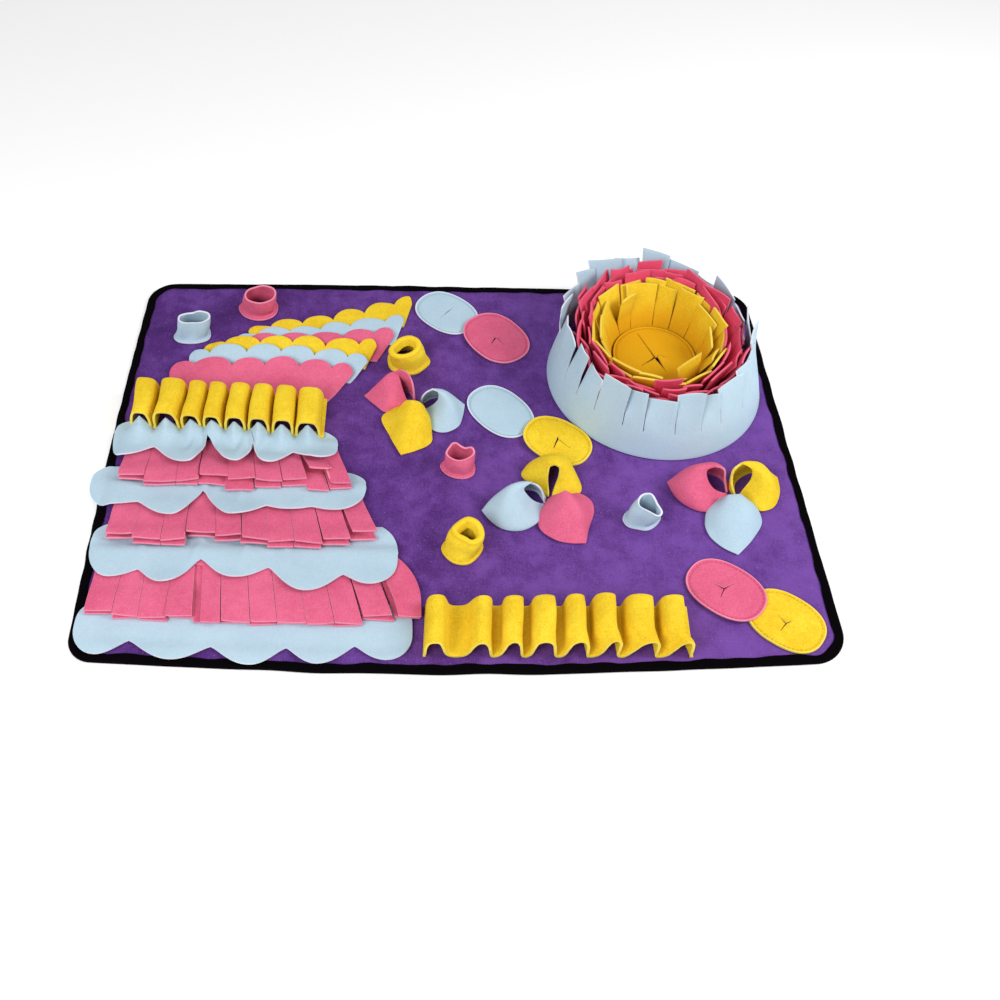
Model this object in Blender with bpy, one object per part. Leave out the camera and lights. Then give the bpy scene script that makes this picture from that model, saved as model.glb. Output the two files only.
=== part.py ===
"""A snuffle mat: a bound felt mat with scalloped, fringed and looped felt pieces and a fringed bowl.

Sizes are in millimetres and become metres when a mesh is made. X runs to the right, Y to the back
and Z up. The origin is the middle of the mat's underside. Most pieces are a sheet of felt: a grid of
points on the sheet's middle surface, thickened on both sides.
"""

import math
from collections import namedtuple

import bmesh
import bpy
import numpy as np
from mathutils import Vector

MM = 0.001

# The mat and its binding.
MAT_LEFT, MAT_RIGHT = -348.0, 348.0
MAT_FRONT, MAT_BACK = -248.0, 242.0
FRONT_BOW, BACK_BOW = 11.0, 3.0
CORNER_RADII = (24.0, 34.0, 28.0, 36.0)
MAT_THICK = 3.0
SEAM_LOW, SEAM_HIGH = 1.3, 2.5
BINDING_WIDTH, BINDING_THICK = 10.0, 1.0
BINDING_TOP = 3.8

# The felts, and the air between pieces that touch.
BLUE_THICK, PINK_THICK, YELLOW_THICK, CUP_THICK = 1.6, 2.0, 2.4, 2.8
GAP = 0.3
STACK_GAP = 0.7
FLOOR = MAT_THICK + GAP
SLIT = 0.8

# Felt that crosses the binding rises this far above it, over this width.
BINDING_CLEAR = 2.0
BINDING_RAMP = 6.0

Finish = namedtuple("Finish", "colour roughness")
FINISHES = {
    "purple": Finish((0.110, 0.040, 0.220), 0.95),
    "black": Finish((0.008, 0.007, 0.009), 0.85),
    "blue": Finish((0.460, 0.620, 0.760), 0.95),
    "pink": Finish((0.760, 0.130, 0.230), 0.95),
    "yellow": Finish((0.900, 0.620, 0.030), 0.95),
}
THICKNESS = {"blue": BLUE_THICK, "pink": PINK_THICK, "yellow": YELLOW_THICK}

# Skirt strips from the lowest layer up: the two ends of the sewn upper edge, and the lines across
# which the strip bends over what lies under it.
Strip = namedtuple("Strip", "name left right bends")
SKIRT = (
    Strip("wave_4", (-338, -194), (-50, -190), (-225,)),
    Strip("fringe_3_under", (-335, -138), (-62, -138), (-148, -190)),
    Strip("fringe_3_top", (-335, -138), (-62, -138), (-148, -190)),
    Strip("wave_3", (-330, -102), (-74, -104), (-129, -138)),
    Strip("fringe_2_under", (-332, -61), (-98, -61), (-71, -101)),
    Strip("fringe_2_top", (-332, -61), (-98, -61), (-71, -101)),
    Strip("wave_2", (-346, -34), (-108, -38), (-52, -61)),
    Strip("fringe_1_under", (-332, 1), (-122, 1), (-9, -34)),
    Strip("fringe_1_top", (-332, 1), (-122, 1), (-9, -34)),
    Strip("wave_1", (-332, 22), (-136, 15), (9, 1)),
)

# Lobed lower edges, left to right: end, lobe, notch, lobe ... lobe, end.
WAVE_EDGES = {
    "wave_1": (
        (-347, 10), (-335, -24), (-304, -12), (-270, -33), (-252, 0), (-221, -32), (-208, -21),
        (-192, -31), (-167, -17), (-139, -24), (-121, -6),
    ),
    "wave_2": (
        (-360, -57), (-336, -85), (-309, -81), (-274, -99), (-249, -67), (-215, -99), (-186, -85),
        (-162, -90), (-141, -86), (-116, -90), (-91, -61),
    ),
    "wave_3": (
        (-346, -126), (-322, -166), (-297, -157), (-272, -172), (-241, -145), (-207, -166), (-178, -154),
        (-142, -181), (-109, -162), (-83, -173), (-59, -146),
    ),
    "wave_4": (
        (-344, -216), (-321, -242), (-294, -228), (-255, -247), (-222, -234), (-187, -252), (-156, -235),
        (-128, -251), (-96, -233), (-68, -247), (-45, -222),
    ),
}
WAVE_CUSP = 0.35
# How far the tip of each free lobe rises off what it lies on, left to right.
WAVE_LIFT = {
    "wave_1": (1.5, 3.0, 3.5, 2.5, 1.0),
    "wave_2": (1.0, 2.5, 3.0, 1.5, 2.0),
    "wave_3": (0.5, 2.0, 2.5, 2.0, 1.5),
    "wave_4": (0.0, 0.5, 0.5, 0.5, 0.5),
}

# Tabs of the fringe strips at their free ends: left side, right side, end line, lift and twist.
Tab = namedtuple("Tab", "left right end lift twist")
FRINGE_1_TOP = (
    Tab(-332, -306, -53, 1.5, 0.5), Tab(-306, -275, -60, 1.0, -0.5), Tab(-275, -253, -59, 1.0, 0.5),
    Tab(-252, -225, -54, 2.5, -0.8), Tab(-225, -198, -57, 2.0, 0.6), Tab(-198, -172, -58, 1.5, -0.5),
    Tab(-172, -148, -57, 2.0, 0.8), Tab(-147, -125, -43, 4.0, -0.6), Tab(-125, -105, -60, 1.0, 0.6),
)
FRINGE_1_UNDER = (
    Tab(-332, -307, -55, 0, 0), Tab(-307, -276, -61, 0, 0), Tab(-276, -254, -61, 0, 0),
    Tab(-254, -227, -61, 0, 0), Tab(-227, -199, -68, 0, 0), Tab(-199, -173, -63, 0, 0),
    Tab(-173, -148, -61, 0, 0), Tab(-148, -126, -67, 0, 0), Tab(-126, -104, -64, 0, 0),
)
FRINGE_2_TOP = (
    Tab(-332, -306, -121, 1.0, 0.4), Tab(-306, -280, -127, 1.5, -0.5), Tab(-280, -257, -128, 1.0, 0.5),
    Tab(-257, -230, -119, 2.0, -0.6), Tab(-230, -205, -122, 1.0, 0.5), Tab(-204, -180, -127, 1.8, -0.7),
    Tab(-180, -155, -129, 1.2, 0.5), Tab(-155, -129, -130, 1.5, -0.6), Tab(-129, -103, -125, 1.0, 0.5),
    Tab(-102, -78, -117, 4.0, 1.2),
)
FRINGE_2_UNDER = (
    Tab(-332, -306, -123, 0, 0), Tab(-306, -280, -130, 0, 0), Tab(-280, -257, -131, 0, 0),
    Tab(-257, -231, -120, 0, 0), Tab(-231, -206, -125, 0, 0), Tab(-206, -181, -129, 0, 0),
    Tab(-181, -156, -133, 0, 0), Tab(-156, -130, -133, 0, 0), Tab(-130, -104, -129, 0, 0),
    Tab(-104, -79, -122, 0, 0),
)
FRINGE_3_TOP = (
    Tab(-337, -312, -202, 0.8, 0.4), Tab(-312, -289, -206, 0.8, -0.4), Tab(-289, -264, -208, 1.0, 0.4),
    Tab(-264, -241, -207, 2.0, -0.8), Tab(-233, -215, -213, 1.5, 0.6), Tab(-215, -189, -212, 0.8, -0.4),
    Tab(-189, -165, -212, 1.0, 0.5), Tab(-165, -139, -213, 0.8, -0.4), Tab(-139, -114, -214, 1.2, 0.5),
    Tab(-114, -89, -214, 1.0, -0.5), Tab(-89, -63, -206, 1.5, 0.5), Tab(-58, -37, -207, 2.5, -0.9),
)
FRINGE_3_UNDER = (
    Tab(-337, -312, -203, 0, 0), Tab(-312, -288, -207, 0, 0), Tab(-288, -263, -209, 0, 0),
    Tab(-263, -240, -206, 0, 0), Tab(-240, -216, -211, 0, 0), Tab(-216, -190, -211, 0, 0),
    Tab(-190, -166, -213, 0, 0), Tab(-166, -140, -212, 0, 0), Tab(-140, -115, -213, 0, 0),
    Tab(-115, -90, -214, 0, 0), Tab(-90, -61, -208, 0, 0), Tab(-61, -38, -205, 0, 0),
)
FRINGES = {
    "fringe_1_top": FRINGE_1_TOP, "fringe_1_under": FRINGE_1_UNDER,
    "fringe_2_top": FRINGE_2_TOP, "fringe_2_under": FRINGE_2_UNDER,
    "fringe_3_top": FRINGE_3_TOP, "fringe_3_under": FRINGE_3_UNDER,
}

# Fan rows from the front one to the back one: the sewn edge, and the scalloped edge left to right.
FanRow = namedtuple("FanRow", "name felt left right edge")
FAN = (
    FanRow("fan_row_1", "pink", (-301, 50), (-147, 42), (
        (-306, 97), (-297, 111), (-280, 105), (-259, 111), (-239, 101), (-220, 110), (-204, 102),
        (-185, 112), (-167, 101), (-149, 110), (-132, 99), (-120, 106), (-109, 94),
    )),
    FanRow("fan_row_2", "blue", (-285, 96), (-112, 86), (
        (-288, 119), (-281, 129), (-265, 121), (-246, 131), (-225, 120), (-206, 131), (-188, 121),
        (-170, 130), (-152, 118), (-134, 127), (-116, 117), (-106, 122), (-94, 111),
    )),
    FanRow("fan_row_3", "yellow", (-271, 112), (-97, 106), (
        (-274, 129), (-266, 140), (-250, 136), (-230, 145), (-212, 135), (-192, 146), (-177, 137),
        (-160, 147), (-141, 133), (-121, 145), (-104, 136), (-92, 145), (-85, 135),
    )),
    FanRow("fan_row_4", "pink", (-249, 127), (-84, 119), (
        (-254, 141), (-243, 146), (-224, 145), (-209, 153), (-192, 147), (-175, 155), (-158, 149),
        (-141, 157), (-122, 150), (-104, 162), (-87, 157), (-76, 165), (-66, 154),
    )),
    FanRow("fan_row_5", "blue", (-236, 138), (-66, 145), (
        (-241, 148), (-231, 155), (-217, 154), (-199, 166), (-182, 160), (-164, 168), (-148, 164),
        (-131, 176), (-115, 169), (-95, 183), (-76, 177), (-62, 189), (-55, 179),
    )),
    FanRow("fan_row_6", "yellow", (-224, 149), (-55, 174), (
        (-228, 161), (-218, 170), (-204, 169), (-186, 182), (-169, 175), (-149, 188), (-135, 181),
        (-115, 200), (-100, 193), (-81, 211), (-66, 208), (-50, 222), (-46, 210),
    )),
)
FAN_CUSP = 0.75
FAN_HINGE = 74.0
EDGE_STEPS = 3

# Loop strips: the valleys where the strip is sewn down, at its front edge, and each loop's height.
Loop = namedtuple("Loop", "start end height lean")
LoopStrip = namedtuple("LoopStrip", "name front_left front_right depth base shift flange loops")
LOOP_STRIPS = (
    LoopStrip("loop_strip_upper", (-334, 20), (-138, 9), 50.0, 6.2, 1.0, 7.0, (
        Loop(-334, -310, 22, 0.0), Loop(-310, -281, 24, 0.5), Loop(-281, -259, 22, 0.0),
        Loop(-259, -238, 22, -0.5), Loop(-238, -214, 22, 0.5), Loop(-214, -190, 22, 0.0),
        Loop(-190, -166, 22, 0.5), Loop(-166, -138, 20, -0.5),
    )),
    LoopStrip("loop_strip_lower", (-36, -242), (204, -242), 51.0, FLOOR, 0.0, 0.0, (
        Loop(-36, -13, 23, 0.0), Loop(2, 31, 23, -1.0), Loop(31, 57, 24, 0.0),
        Loop(57, 85, 23, 0.5), Loop(85, 112, 25, 0.0), Loop(112, 142, 25, 1.0),
        Loop(142, 174, 23, 2.5), Loop(174, 204, 24, 2.0),
    )),
)
# Half of a loop's outline, from its sewn foot to its crown, as shares of its half width and height.
LOOP_PROFILE = ((0.0, 0.0), (0.05, 0.22), (0.10, 0.62), (0.38, 0.93), (1.0, 1.0))
LOOP_FOOT = 1.7

# Cups: the foot's middle and radius, then the rim's middle, half sizes, height and slant.
Cup = namedtuple("Cup", "name felt x y foot waist rim_x rim_y rim_rx rim_ry height slant pinch lobes turn")
CUPS = (
    Cup("cup_1", "blue", -290, 161, 20.5, 17.0, -286, 161, 16.5, 11.5, 27, 1.5, 0.10, 3, 1.6),
    Cup("cup_2", "pink", -221, 201, 21.5, 17.0, -216, 200, 16.0, 14.0, 27, 1.0, 0.09, 3, 0.4),
    Cup("cup_3", "yellow", -50, 118, 22.0, 18.5, -53, 119, 16.0, 14.5, 26, 4.0, 0.10, 3, 1.9),
    Cup("cup_4", "pink", 0.5, -33, 17.0, 14.0, 2, -29, 13.5, 11.0, 25, 1.5, 0.14, 3, 1.6),
    Cup("cup_5", "yellow", 2.5, -132, 19.5, 18.0, 6.5, -121, 13.0, 13.0, 24, 4.5, 0.12, 3, 0.5),
    Cup("cup_6", "blue", 179, -94, 18.0, 16.0, 184, -91, 11.5, 13.0, 25, 2.0, 0.14, 3, 2.6),
)
CUP_COLUMNS = 12
CUP_FOOT_RISE = 1.2

# Stitched discs: middle, half sizes, turn in degrees, rise of the side that lies on a neighbour, and
# the slit as its corner and its two arms, measured from the disc's middle.
Disc = namedtuple("Disc", "name felt x y rx ry turn rise towards corner arm_a arm_b")
DISCS = (
    Disc("disc_1", "blue", -6, 198.5, 38.5, 31.5, -42, 0.0, 0, (1, 1), (-9, 9), (9, -8)),
    Disc("disc_2", "pink", 49, 157, 41, 35, -52, 2.3, 142, (0, 1), (-8, -9), (8, -8)),
    Disc("disc_3", "blue", 48, 48, 40, 30, -50, 0.0, 0, None, None, None),
    Disc("disc_4", "yellow", 105, 6.5, 36.5, 29.5, -33, 2.3, 145, (-1, 3), (-8, -10), (11, -9)),
    Disc("disc_5", "pink", 247, -173, 38, 31, -40, 2.9, -37, (-2, 3), (-8, 9), (8, 10)),
    Disc("disc_6", "yellow", 297, -205.0, 36.5, 30.5, -38, 0.0, 0, (2, 2), (-6, -8), (9, -6)),
)
DISC_SIDES = 26

# Petals: the sewn corner, the way the tip points, its reach, the half width on the mat, then the
# mouth's height, half width, lean towards the tip and lean to the side, and how blunt the tip is.
Petal = namedtuple("Petal", "name felt x y points reach half mouth_h mouth_w lean side blunt swell")
PETALS = (
    Petal("petal_1_pink", "pink", -51, 60, 174, 45, 20, 34, 8.0, 11, -5, 1.1, 3.0),
    Petal("petal_1_yellow", "yellow", -45, 48, -100, 61, 25, 26, 8.0, 9, 0, 1.5, 4.0),
    Petal("petal_1_blue", "blue", -34, 50, -10, 45, 26, 24, 8.0, 13, 4, 1.2, 4.0),
    Petal("petal_2_blue", "blue", 80, -72, 190, 56, 26, 27, 8.0, 12, -6, 1.1, 4.0),
    Petal("petal_2_yellow", "yellow", 88, -62, 76, 34, 28, 28, 7.0, 17, 0, 1.3, 3.0),
    Petal("petal_2_pink", "pink", 92, -75, -69, 50, 26, 24, 8.0, 10, 3, 1.8, 5.0),
    Petal("petal_3_pink", "pink", 265, -61, 166, 53, 25, 31, 8.5, 12, -7, 1.1, 4.0),
    Petal("petal_3_yellow", "yellow", 277, -61, 20, 46, 22, 32, 8.5, 10, 8, 1.2, 3.0),
    Petal("petal_3_blue", "blue", 272, -71, -99, 61, 25, 18, 9.0, 10, 0, 1.0, 6.0),
)
PETAL_COLUMNS = 10
PETAL_ROWS = 3

# Bowl rings: middle and radius at the base and at the rim, the heights, and the cut tabs.
Ring = namedtuple("Ring", "name felt base_r rim_r height slit tabs bow twist uneven turn")
BOWL_BASE = (218.0, 99.5)
BOWL_RIM = (213.5, 106.0)
RING_BASE = (218.0, 109.0)
RING_RIM = (214.0, 112.0)
BOWL_RINGS = (
    Ring("bowl_wall", "blue", 115.5, 101.0, 70.0, 0.38, 24, 6.5, 2.6, 4.0, 0.10),
    Ring("bowl_pink_1", "pink", 74.0, 91.5, 62.0, 0.30, 18, 0.0, 2.0, 3.0, 0.30),
    Ring("bowl_pink_2", "pink", 65.0, 84.5, 63.0, 0.30, 18, 0.0, 2.0, 3.0, 0.12),
    Ring("bowl_pink_3", "pink", 56.0, 77.5, 63.0, 0.30, 17, 0.0, 2.0, 3.0, 0.24),
    Ring("bowl_yellow_1", "yellow", 47.0, 70.0, 61.0, 0.36, 15, 0.0, 1.5, 3.0, 0.05),
    Ring("bowl_yellow_2", "yellow", 38.5, 63.0, 60.0, 0.36, 14, 0.0, 1.5, 3.0, 0.40),
)
BACK_RISE = 9.0
RING_LIFT = 0.6
BOWL_FLOOR = (216.2, 108.8, 27.0)
BOWL_FLOOR_RADIUS = 44.7
FLOOR_SIDES = 32
FLOOR_SLIT_CORNER = (0.0, -3.5)
FLOOR_SLIT_ARMS = ((-14.5, 34.5), (-16.5, -15.5), (9.0, -23.5), (13.0, -2.0))


def clear_scene():
    for obj in list(bpy.data.objects):
        bpy.data.objects.remove(obj, do_unlink=True)


def material(name):
    """The felt or tape of that name, made once."""
    found = bpy.data.materials.get(name)
    if found:
        return found
    finish = FINISHES[name]
    made = bpy.data.materials.new(name)
    made.use_nodes = True
    shader = made.node_tree.nodes["Principled BSDF"]
    shader.inputs["Base Color"].default_value = (*finish.colour, 1.0)
    shader.inputs["Roughness"].default_value = finish.roughness
    shader.inputs["Metallic"].default_value = 0.0
    made.diffuse_color = (*finish.colour, 1.0)
    return made


def add_object(name, felt, shape):
    """A new object from a bmesh that is in millimetres."""
    bmesh.ops.scale(shape, vec=(MM, MM, MM), verts=shape.verts)
    mesh = bpy.data.meshes.new(name)
    shape.to_mesh(mesh)
    shape.free()
    mesh.materials.append(material(felt))
    obj = bpy.data.objects.new(name, mesh)
    bpy.context.scene.collection.objects.link(obj)
    return obj


def thicken(obj, thick):
    """Felt of that thickness, half on each side of the sheet."""
    solid = obj.modifiers.new("Felt", "SOLIDIFY")
    solid.thickness = thick * MM
    solid.offset = 0.0
    solid.use_even_offset = True


def sheet(name, felt, thick, points, keep=None, ring=False):
    """A felt sheet through points[column][row]; keep(column, row) says which cells are not cut away."""
    shape = bmesh.new()
    columns, rows = len(points), len(points[0])
    made = {}

    def corner(column, row):
        key = (column % columns, row)
        if key not in made:
            made[key] = shape.verts.new(points[key[0]][row])
        return made[key]

    for column in range(columns if ring else columns - 1):
        for row in range(rows - 1):
            if keep is None or keep(column, row):
                shape.faces.new((
                    corner(column, row), corner(column + 1, row),
                    corner(column + 1, row + 1), corner(column, row + 1),
                ))
    bmesh.ops.recalc_face_normals(shape, faces=shape.faces)
    obj = add_object(name, felt, shape)
    obj.data.shade_smooth()
    obj.data.set_sharp_from_angle(angle=math.radians(40))
    thicken(obj, thick)
    return obj


def mix(a, b, share):
    return a + (b - a) * share


def ramp(value):
    return min(max(value, 0.0), 1.0)


def line_y(left, right, x):
    """Height on the straight line through two points, also past its ends."""
    return left[1] + (right[1] - left[1]) * (x - left[0]) / (right[0] - left[0])


def lobed_edge(stops, cusp, steps=EDGE_STEPS):
    """Quarter arcs from stop to stop; cusp 1 gives round lobes with sharp notches, 0 a soft wave."""
    edge = [stops[0]]
    for index in range(len(stops) - 1):
        (x0, y0), (x1, y1) = stops[index], stops[index + 1]
        at_end = index in (0, len(stops) - 2)
        round_share = 1.0 if at_end else cusp
        rising = index % 2 == 0
        for step in range(1, steps + 1):
            share = step / steps
            angle = share * math.pi / 2
            if rising:
                across, along = 1 - math.cos(angle), math.sin(angle)
            else:
                across, along = math.sin(angle), 1 - math.cos(angle)
            across = mix(share, across, round_share)
            edge.append((mix(x0, x1, across), mix(y0, y1, along)))
    return edge


# The mat and its binding ----------------------------------------------------------------------

def mat_outline(inset, edge_steps=8, corner_steps=4):
    """Closed outline of the mat, drawn in by inset, with rounded corners and bowed long edges."""
    left, right = MAT_LEFT + inset, MAT_RIGHT - inset
    front, back = MAT_FRONT + inset, MAT_BACK - inset
    corners = (
        (left, front, 180, CORNER_RADII[0]), (right, front, 270, CORNER_RADII[1]),
        (right, back, 0, CORNER_RADII[2]), (left, back, 90, CORNER_RADII[3]),
    )
    outline = []
    for index, (x, y, start, radius) in enumerate(corners):
        radius = max(radius - inset, 3.0)
        middle_x = x + radius * (1 if x < 0 else -1)
        middle_y = y + radius * (1 if y < 0 else -1)
        for step in range(corner_steps + 1):
            angle = math.radians(start + 90 * step / corner_steps)
            outline.append((middle_x + radius * math.cos(angle), middle_y + radius * math.sin(angle)))
        x_next, y_next, start_next, radius_next = corners[(index + 1) % 4]
        radius_next = max(radius_next - inset, 3.0)
        angle = math.radians(start_next)
        end_x = x_next + radius_next * (1 if x_next < 0 else -1) + radius_next * math.cos(angle)
        end_y = y_next + radius_next * (1 if y_next < 0 else -1) + radius_next * math.sin(angle)
        begin_x, begin_y = outline[-1]
        bow = {0: -FRONT_BOW, 2: BACK_BOW}.get(index, 0.0)
        for step in range(1, edge_steps):
            share = step / edge_steps
            swell = bow * math.sin(math.pi * share)
            outline.append((mix(begin_x, end_x, share), mix(begin_y, end_y, share) + swell))
    return outline


def loft(shape, sections, closed):
    """Bridges outlines of equal count; closed joins the last section to the first."""
    loops = [[shape.verts.new(point) for point in section] for section in sections]
    pairs = list(zip(loops, loops[1:]))
    if closed:
        pairs.append((loops[-1], loops[0]))
    for low, high in pairs:
        for index in range(len(low)):
            after = (index + 1) % len(low)
            shape.faces.new((low[index], low[after], high[after], high[index]))
    return loops


def mat_sections(profile):
    return [[Vector((x, y, z)) for x, y in mat_outline(inset)] for inset, z in profile]


def build_base():
    step = BINDING_WIDTH + 0.6
    field = step + 1.6
    seam = BINDING_THICK + GAP
    profile = (
        (field, 0.0), (step, SEAM_LOW), (seam, SEAM_LOW), (seam, SEAM_HIGH), (step, SEAM_HIGH),
        (field, MAT_THICK),
    )
    shape = bmesh.new()
    loops = loft(shape, mat_sections(profile), closed=False)
    shape.faces.new(loops[0])
    shape.faces.new(loops[-1])
    bmesh.ops.recalc_face_normals(shape, faces=shape.faces)
    add_object("base_mat", "purple", shape)


def build_binding():
    low = SEAM_LOW - GAP
    high = SEAM_HIGH + GAP
    profile = (
        (BINDING_WIDTH, 0.0), (0.6, 0.0), (0.0, BINDING_TOP / 2), (0.6, BINDING_TOP),
        (BINDING_WIDTH, BINDING_TOP), (BINDING_WIDTH, high), (BINDING_THICK, high),
        (BINDING_THICK, low), (BINDING_WIDTH, low),
    )
    shape = bmesh.new()
    loft(shape, mat_sections(profile), closed=True)
    bmesh.ops.recalc_face_normals(shape, faces=shape.faces)
    add_object("edge_binding", "black", shape)


# The skirt and the fan ------------------------------------------------------------------------

class Pile:
    """How high the felt laid so far reaches, by the millimetre, for the next sheet to rest on."""

    def __init__(self):
        self.corner = (int(MAT_LEFT) - 20, int(MAT_FRONT) - 30)
        across, along = int(MAT_RIGHT - MAT_LEFT) + 40, int(MAT_BACK - MAT_FRONT) + 50
        self.tops = np.full((across, along), MAT_THICK)

    def add(self, points, rise):
        """Adds a sheet's cells; rise is from its middle surface to its top."""
        for left, right in zip(points, points[1:]):
            for corners in zip(left, left[1:], right[1:], right):
                near, far, opposite, beside = (np.array(corner) for corner in corners)
                spans = max(np.ptp(np.array(corners)[:, :2], axis=0))
                share = np.linspace(0, 1, int(spans * 1.5) + 2)
                u, v = (grid.reshape(-1, 1) for grid in np.meshgrid(share, share))
                spots = (1 - u) * ((1 - v) * near + v * far) + u * ((1 - v) * beside + v * opposite)
                cells = np.round(spots[:, :2]).astype(int) - self.corner
                np.maximum.at(self.tops, (cells[:, 0], cells[:, 1]), spots[:, 2] + rise)

    def top(self, x, y, across, along=0):
        """The highest spot within those distances of (x, y)."""
        column = round(x) - self.corner[0]
        row = round(y) - self.corner[1]
        near = self.tops[max(column - across, 0):column + across + 1, max(row - along, 0):row + along + 1]
        return near.max()

    def settle(self, line, thick, reach):
        """Points on a sheet's middle above a line of (x, y), raised until its straight runs clear the pile."""
        rise = thick / 2 + STACK_GAP
        least = FLOOR + thick / 2
        heights = [
            max(least, self.top(x, y, reach, 2) + rise) + over_binding(x, y) for x, y in line
        ]
        for place, (start, end) in enumerate(zip(line, line[1:])):
            steps = max(int(math.dist(start, end)), 1)
            for step in range(1, steps):
                share = step / steps
                x, y = mix(start[0], end[0], share), mix(start[1], end[1], share)
                need = self.top(x, y, reach, 1) + rise
                short = max(need - mix(heights[place], heights[place + 1], share), 0.0)
                if share < 0.3:
                    heights[place] += short / (1 - share)
                else:
                    heights[place + 1] += short / share
        return [Vector((x, y, z)) for (x, y), z in zip(line, heights)]


def over_binding(x, y):
    """How far a sheet rises to clear the binding at the left and front edges."""
    front = MAT_FRONT - FRONT_BOW * math.sin(math.pi * (x - MAT_LEFT) / (MAT_RIGHT - MAT_LEFT))
    inside = BINDING_WIDTH + BINDING_RAMP
    near = max((MAT_LEFT + inside - x), (front + inside - y)) / BINDING_RAMP
    return (BINDING_TOP + BINDING_CLEAR - FLOOR) * ramp(near)


def bent_line(start, end, bends):
    """Points from a sewn edge to a free one that stop at each bend line on the way."""
    line = [start]
    for place, bend in enumerate(bends):
        least = mix(end[1], start[1], 0.15 * (len(bends) - place))
        y = max(bend, least)
        line.append((mix(start[0], end[0], (start[1] - y) / (start[1] - end[1])), y))
    return line + [end]


def lobe_lift(edge, lifts, x):
    """Lift of a wave's lower edge at x, greatest at the middle of each lobe."""
    nearest = zip(edge[1::2], lifts)
    return max(amount * ramp(1 - abs(x - tip_x) / 30) for (tip_x, tip_y), amount in nearest)


def build_wave(strip, pile):
    stops = WAVE_EDGES[strip.name]
    edge = lobed_edge(stops, WAVE_CUSP)
    points = []
    for index, end in enumerate(edge):
        share = index / (len(edge) - 1)
        start = tuple(mix(a, b, share) for a, b in zip(strip.left, strip.right))
        column = pile.settle(bent_line(start, end, strip.bends), BLUE_THICK, 8)
        column[-1].z += lobe_lift(stops, WAVE_LIFT[strip.name], end[0])
        points.append(column)
    pile.add(points, BLUE_THICK / 2)
    sheet(strip.name, "blue", BLUE_THICK, points)


def build_fringe(strip, pile):
    tabs = FRINGES[strip.name]
    first, last = tabs[0].left, tabs[-1].right
    points = []
    for tab in tabs:
        for x1, side in ((tab.left + SLIT / 2, -1), (tab.right - SLIT / 2, 1)):
            share = (x1 - first) / (last - first)
            start = tuple(mix(a, b, share) for a, b in zip(strip.left, strip.right))
            column = pile.settle(bent_line(start, (x1, tab.end), strip.bends), PINK_THICK, 12)
            column[-1].z += tab.lift + tab.twist * side
            points.append(column)
    pile.add(points, PINK_THICK / 2)
    # Odd columns are the slits between tabs, and only the backing strip crosses them.
    sheet(strip.name, "pink", PINK_THICK, points, keep=lambda column, row: row == 0 or column % 2 == 0)


def build_skirt(pile):
    for strip in SKIRT:
        if strip.name in FRINGES:
            build_fringe(strip, pile)
        else:
            build_wave(strip, pile)


def build_fan(pile):
    for row in reversed(FAN):
        edge = lobed_edge(row.edge, FAN_CUSP)
        thick = THICKNESS[row.felt]
        points = []
        for place, end in enumerate(edge):
            share = place / (len(edge) - 1)
            start = tuple(mix(a, b, share) for a, b in zip(row.left, row.right))
            line = [start, end]
            if row is FAN[0]:
                hinge = (FAN_HINGE - start[1]) / (end[1] - start[1])
                line.insert(1, (mix(start[0], end[0], hinge), FAN_HINGE))
            points.append(pile.settle(line, thick, 9))
        pile.add(points, thick / 2)
        sheet(row.name, row.felt, thick, points)


# Loop strips ----------------------------------------------------------------------------------

def loop_outline(strip):
    """Middle line of the looped strip seen from the front: (x, height above the sewn foot)."""
    line = [(strip.loops[0].start, 0.0)] if strip.flange else []
    for loop in strip.loops:
        left, right = loop.start + LOOP_FOOT, loop.end - LOOP_FOOT
        half = (right - left) / 2
        up = [(left + half * across, loop.height * rise) for across, rise in LOOP_PROFILE]
        down = [(right - half * across, loop.height * rise) for across, rise in LOOP_PROFILE[-2::-1]]
        line += [(x + loop.lean * rise / loop.height, rise) for x, rise in up + down]
    if strip.flange:
        line.append((strip.loops[-1].end + strip.flange, 0.0))
    return line


def build_loop_strips():
    for strip in LOOP_STRIPS:
        points = []
        for x, rise in loop_outline(strip):
            y = line_y(strip.front_left, strip.front_right, x)
            z = strip.base + YELLOW_THICK / 2 + rise
            points.append([
                Vector((x, y, z)), Vector((x + strip.shift, y + strip.depth, z)),
            ])
        sheet(strip.name, "yellow", YELLOW_THICK, points)


# Cups, discs and petals -----------------------------------------------------------------------

def build_cups():
    for cup in CUPS:
        thick = CUP_THICK if cup.felt == "yellow" else PINK_THICK
        points = []
        low = FLOOR + thick / 2 + GAP
        for column in range(CUP_COLUMNS):
            angle = 2 * math.pi * column / CUP_COLUMNS
            c, s = math.cos(angle), math.sin(angle)
            fold = 1 - cup.pinch * (1 - math.cos(cup.lobes * angle + cup.turn)) / 2
            top = cup.height + cup.slant * s
            points.append([
                Vector((cup.x + cup.foot * c, cup.y + cup.foot * s, low)),
                Vector((cup.x + cup.waist * c, cup.y + cup.waist * s, low + CUP_FOOT_RISE)),
                Vector((
                    mix(cup.x, cup.rim_x, 0.5) + mix(cup.waist, cup.rim_rx, 0.5) * c,
                    mix(cup.y, cup.rim_y, 0.5) + mix(cup.waist, cup.rim_ry, 0.5) * s,
                    FLOOR + top * 0.5,
                )),
                Vector((
                    cup.rim_x + cup.rim_rx * fold * c, cup.rim_y + cup.rim_ry * fold * s, FLOOR + top,
                )),
            ])
        sheet(cup.name, cup.felt, thick, points, ring=True)


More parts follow.
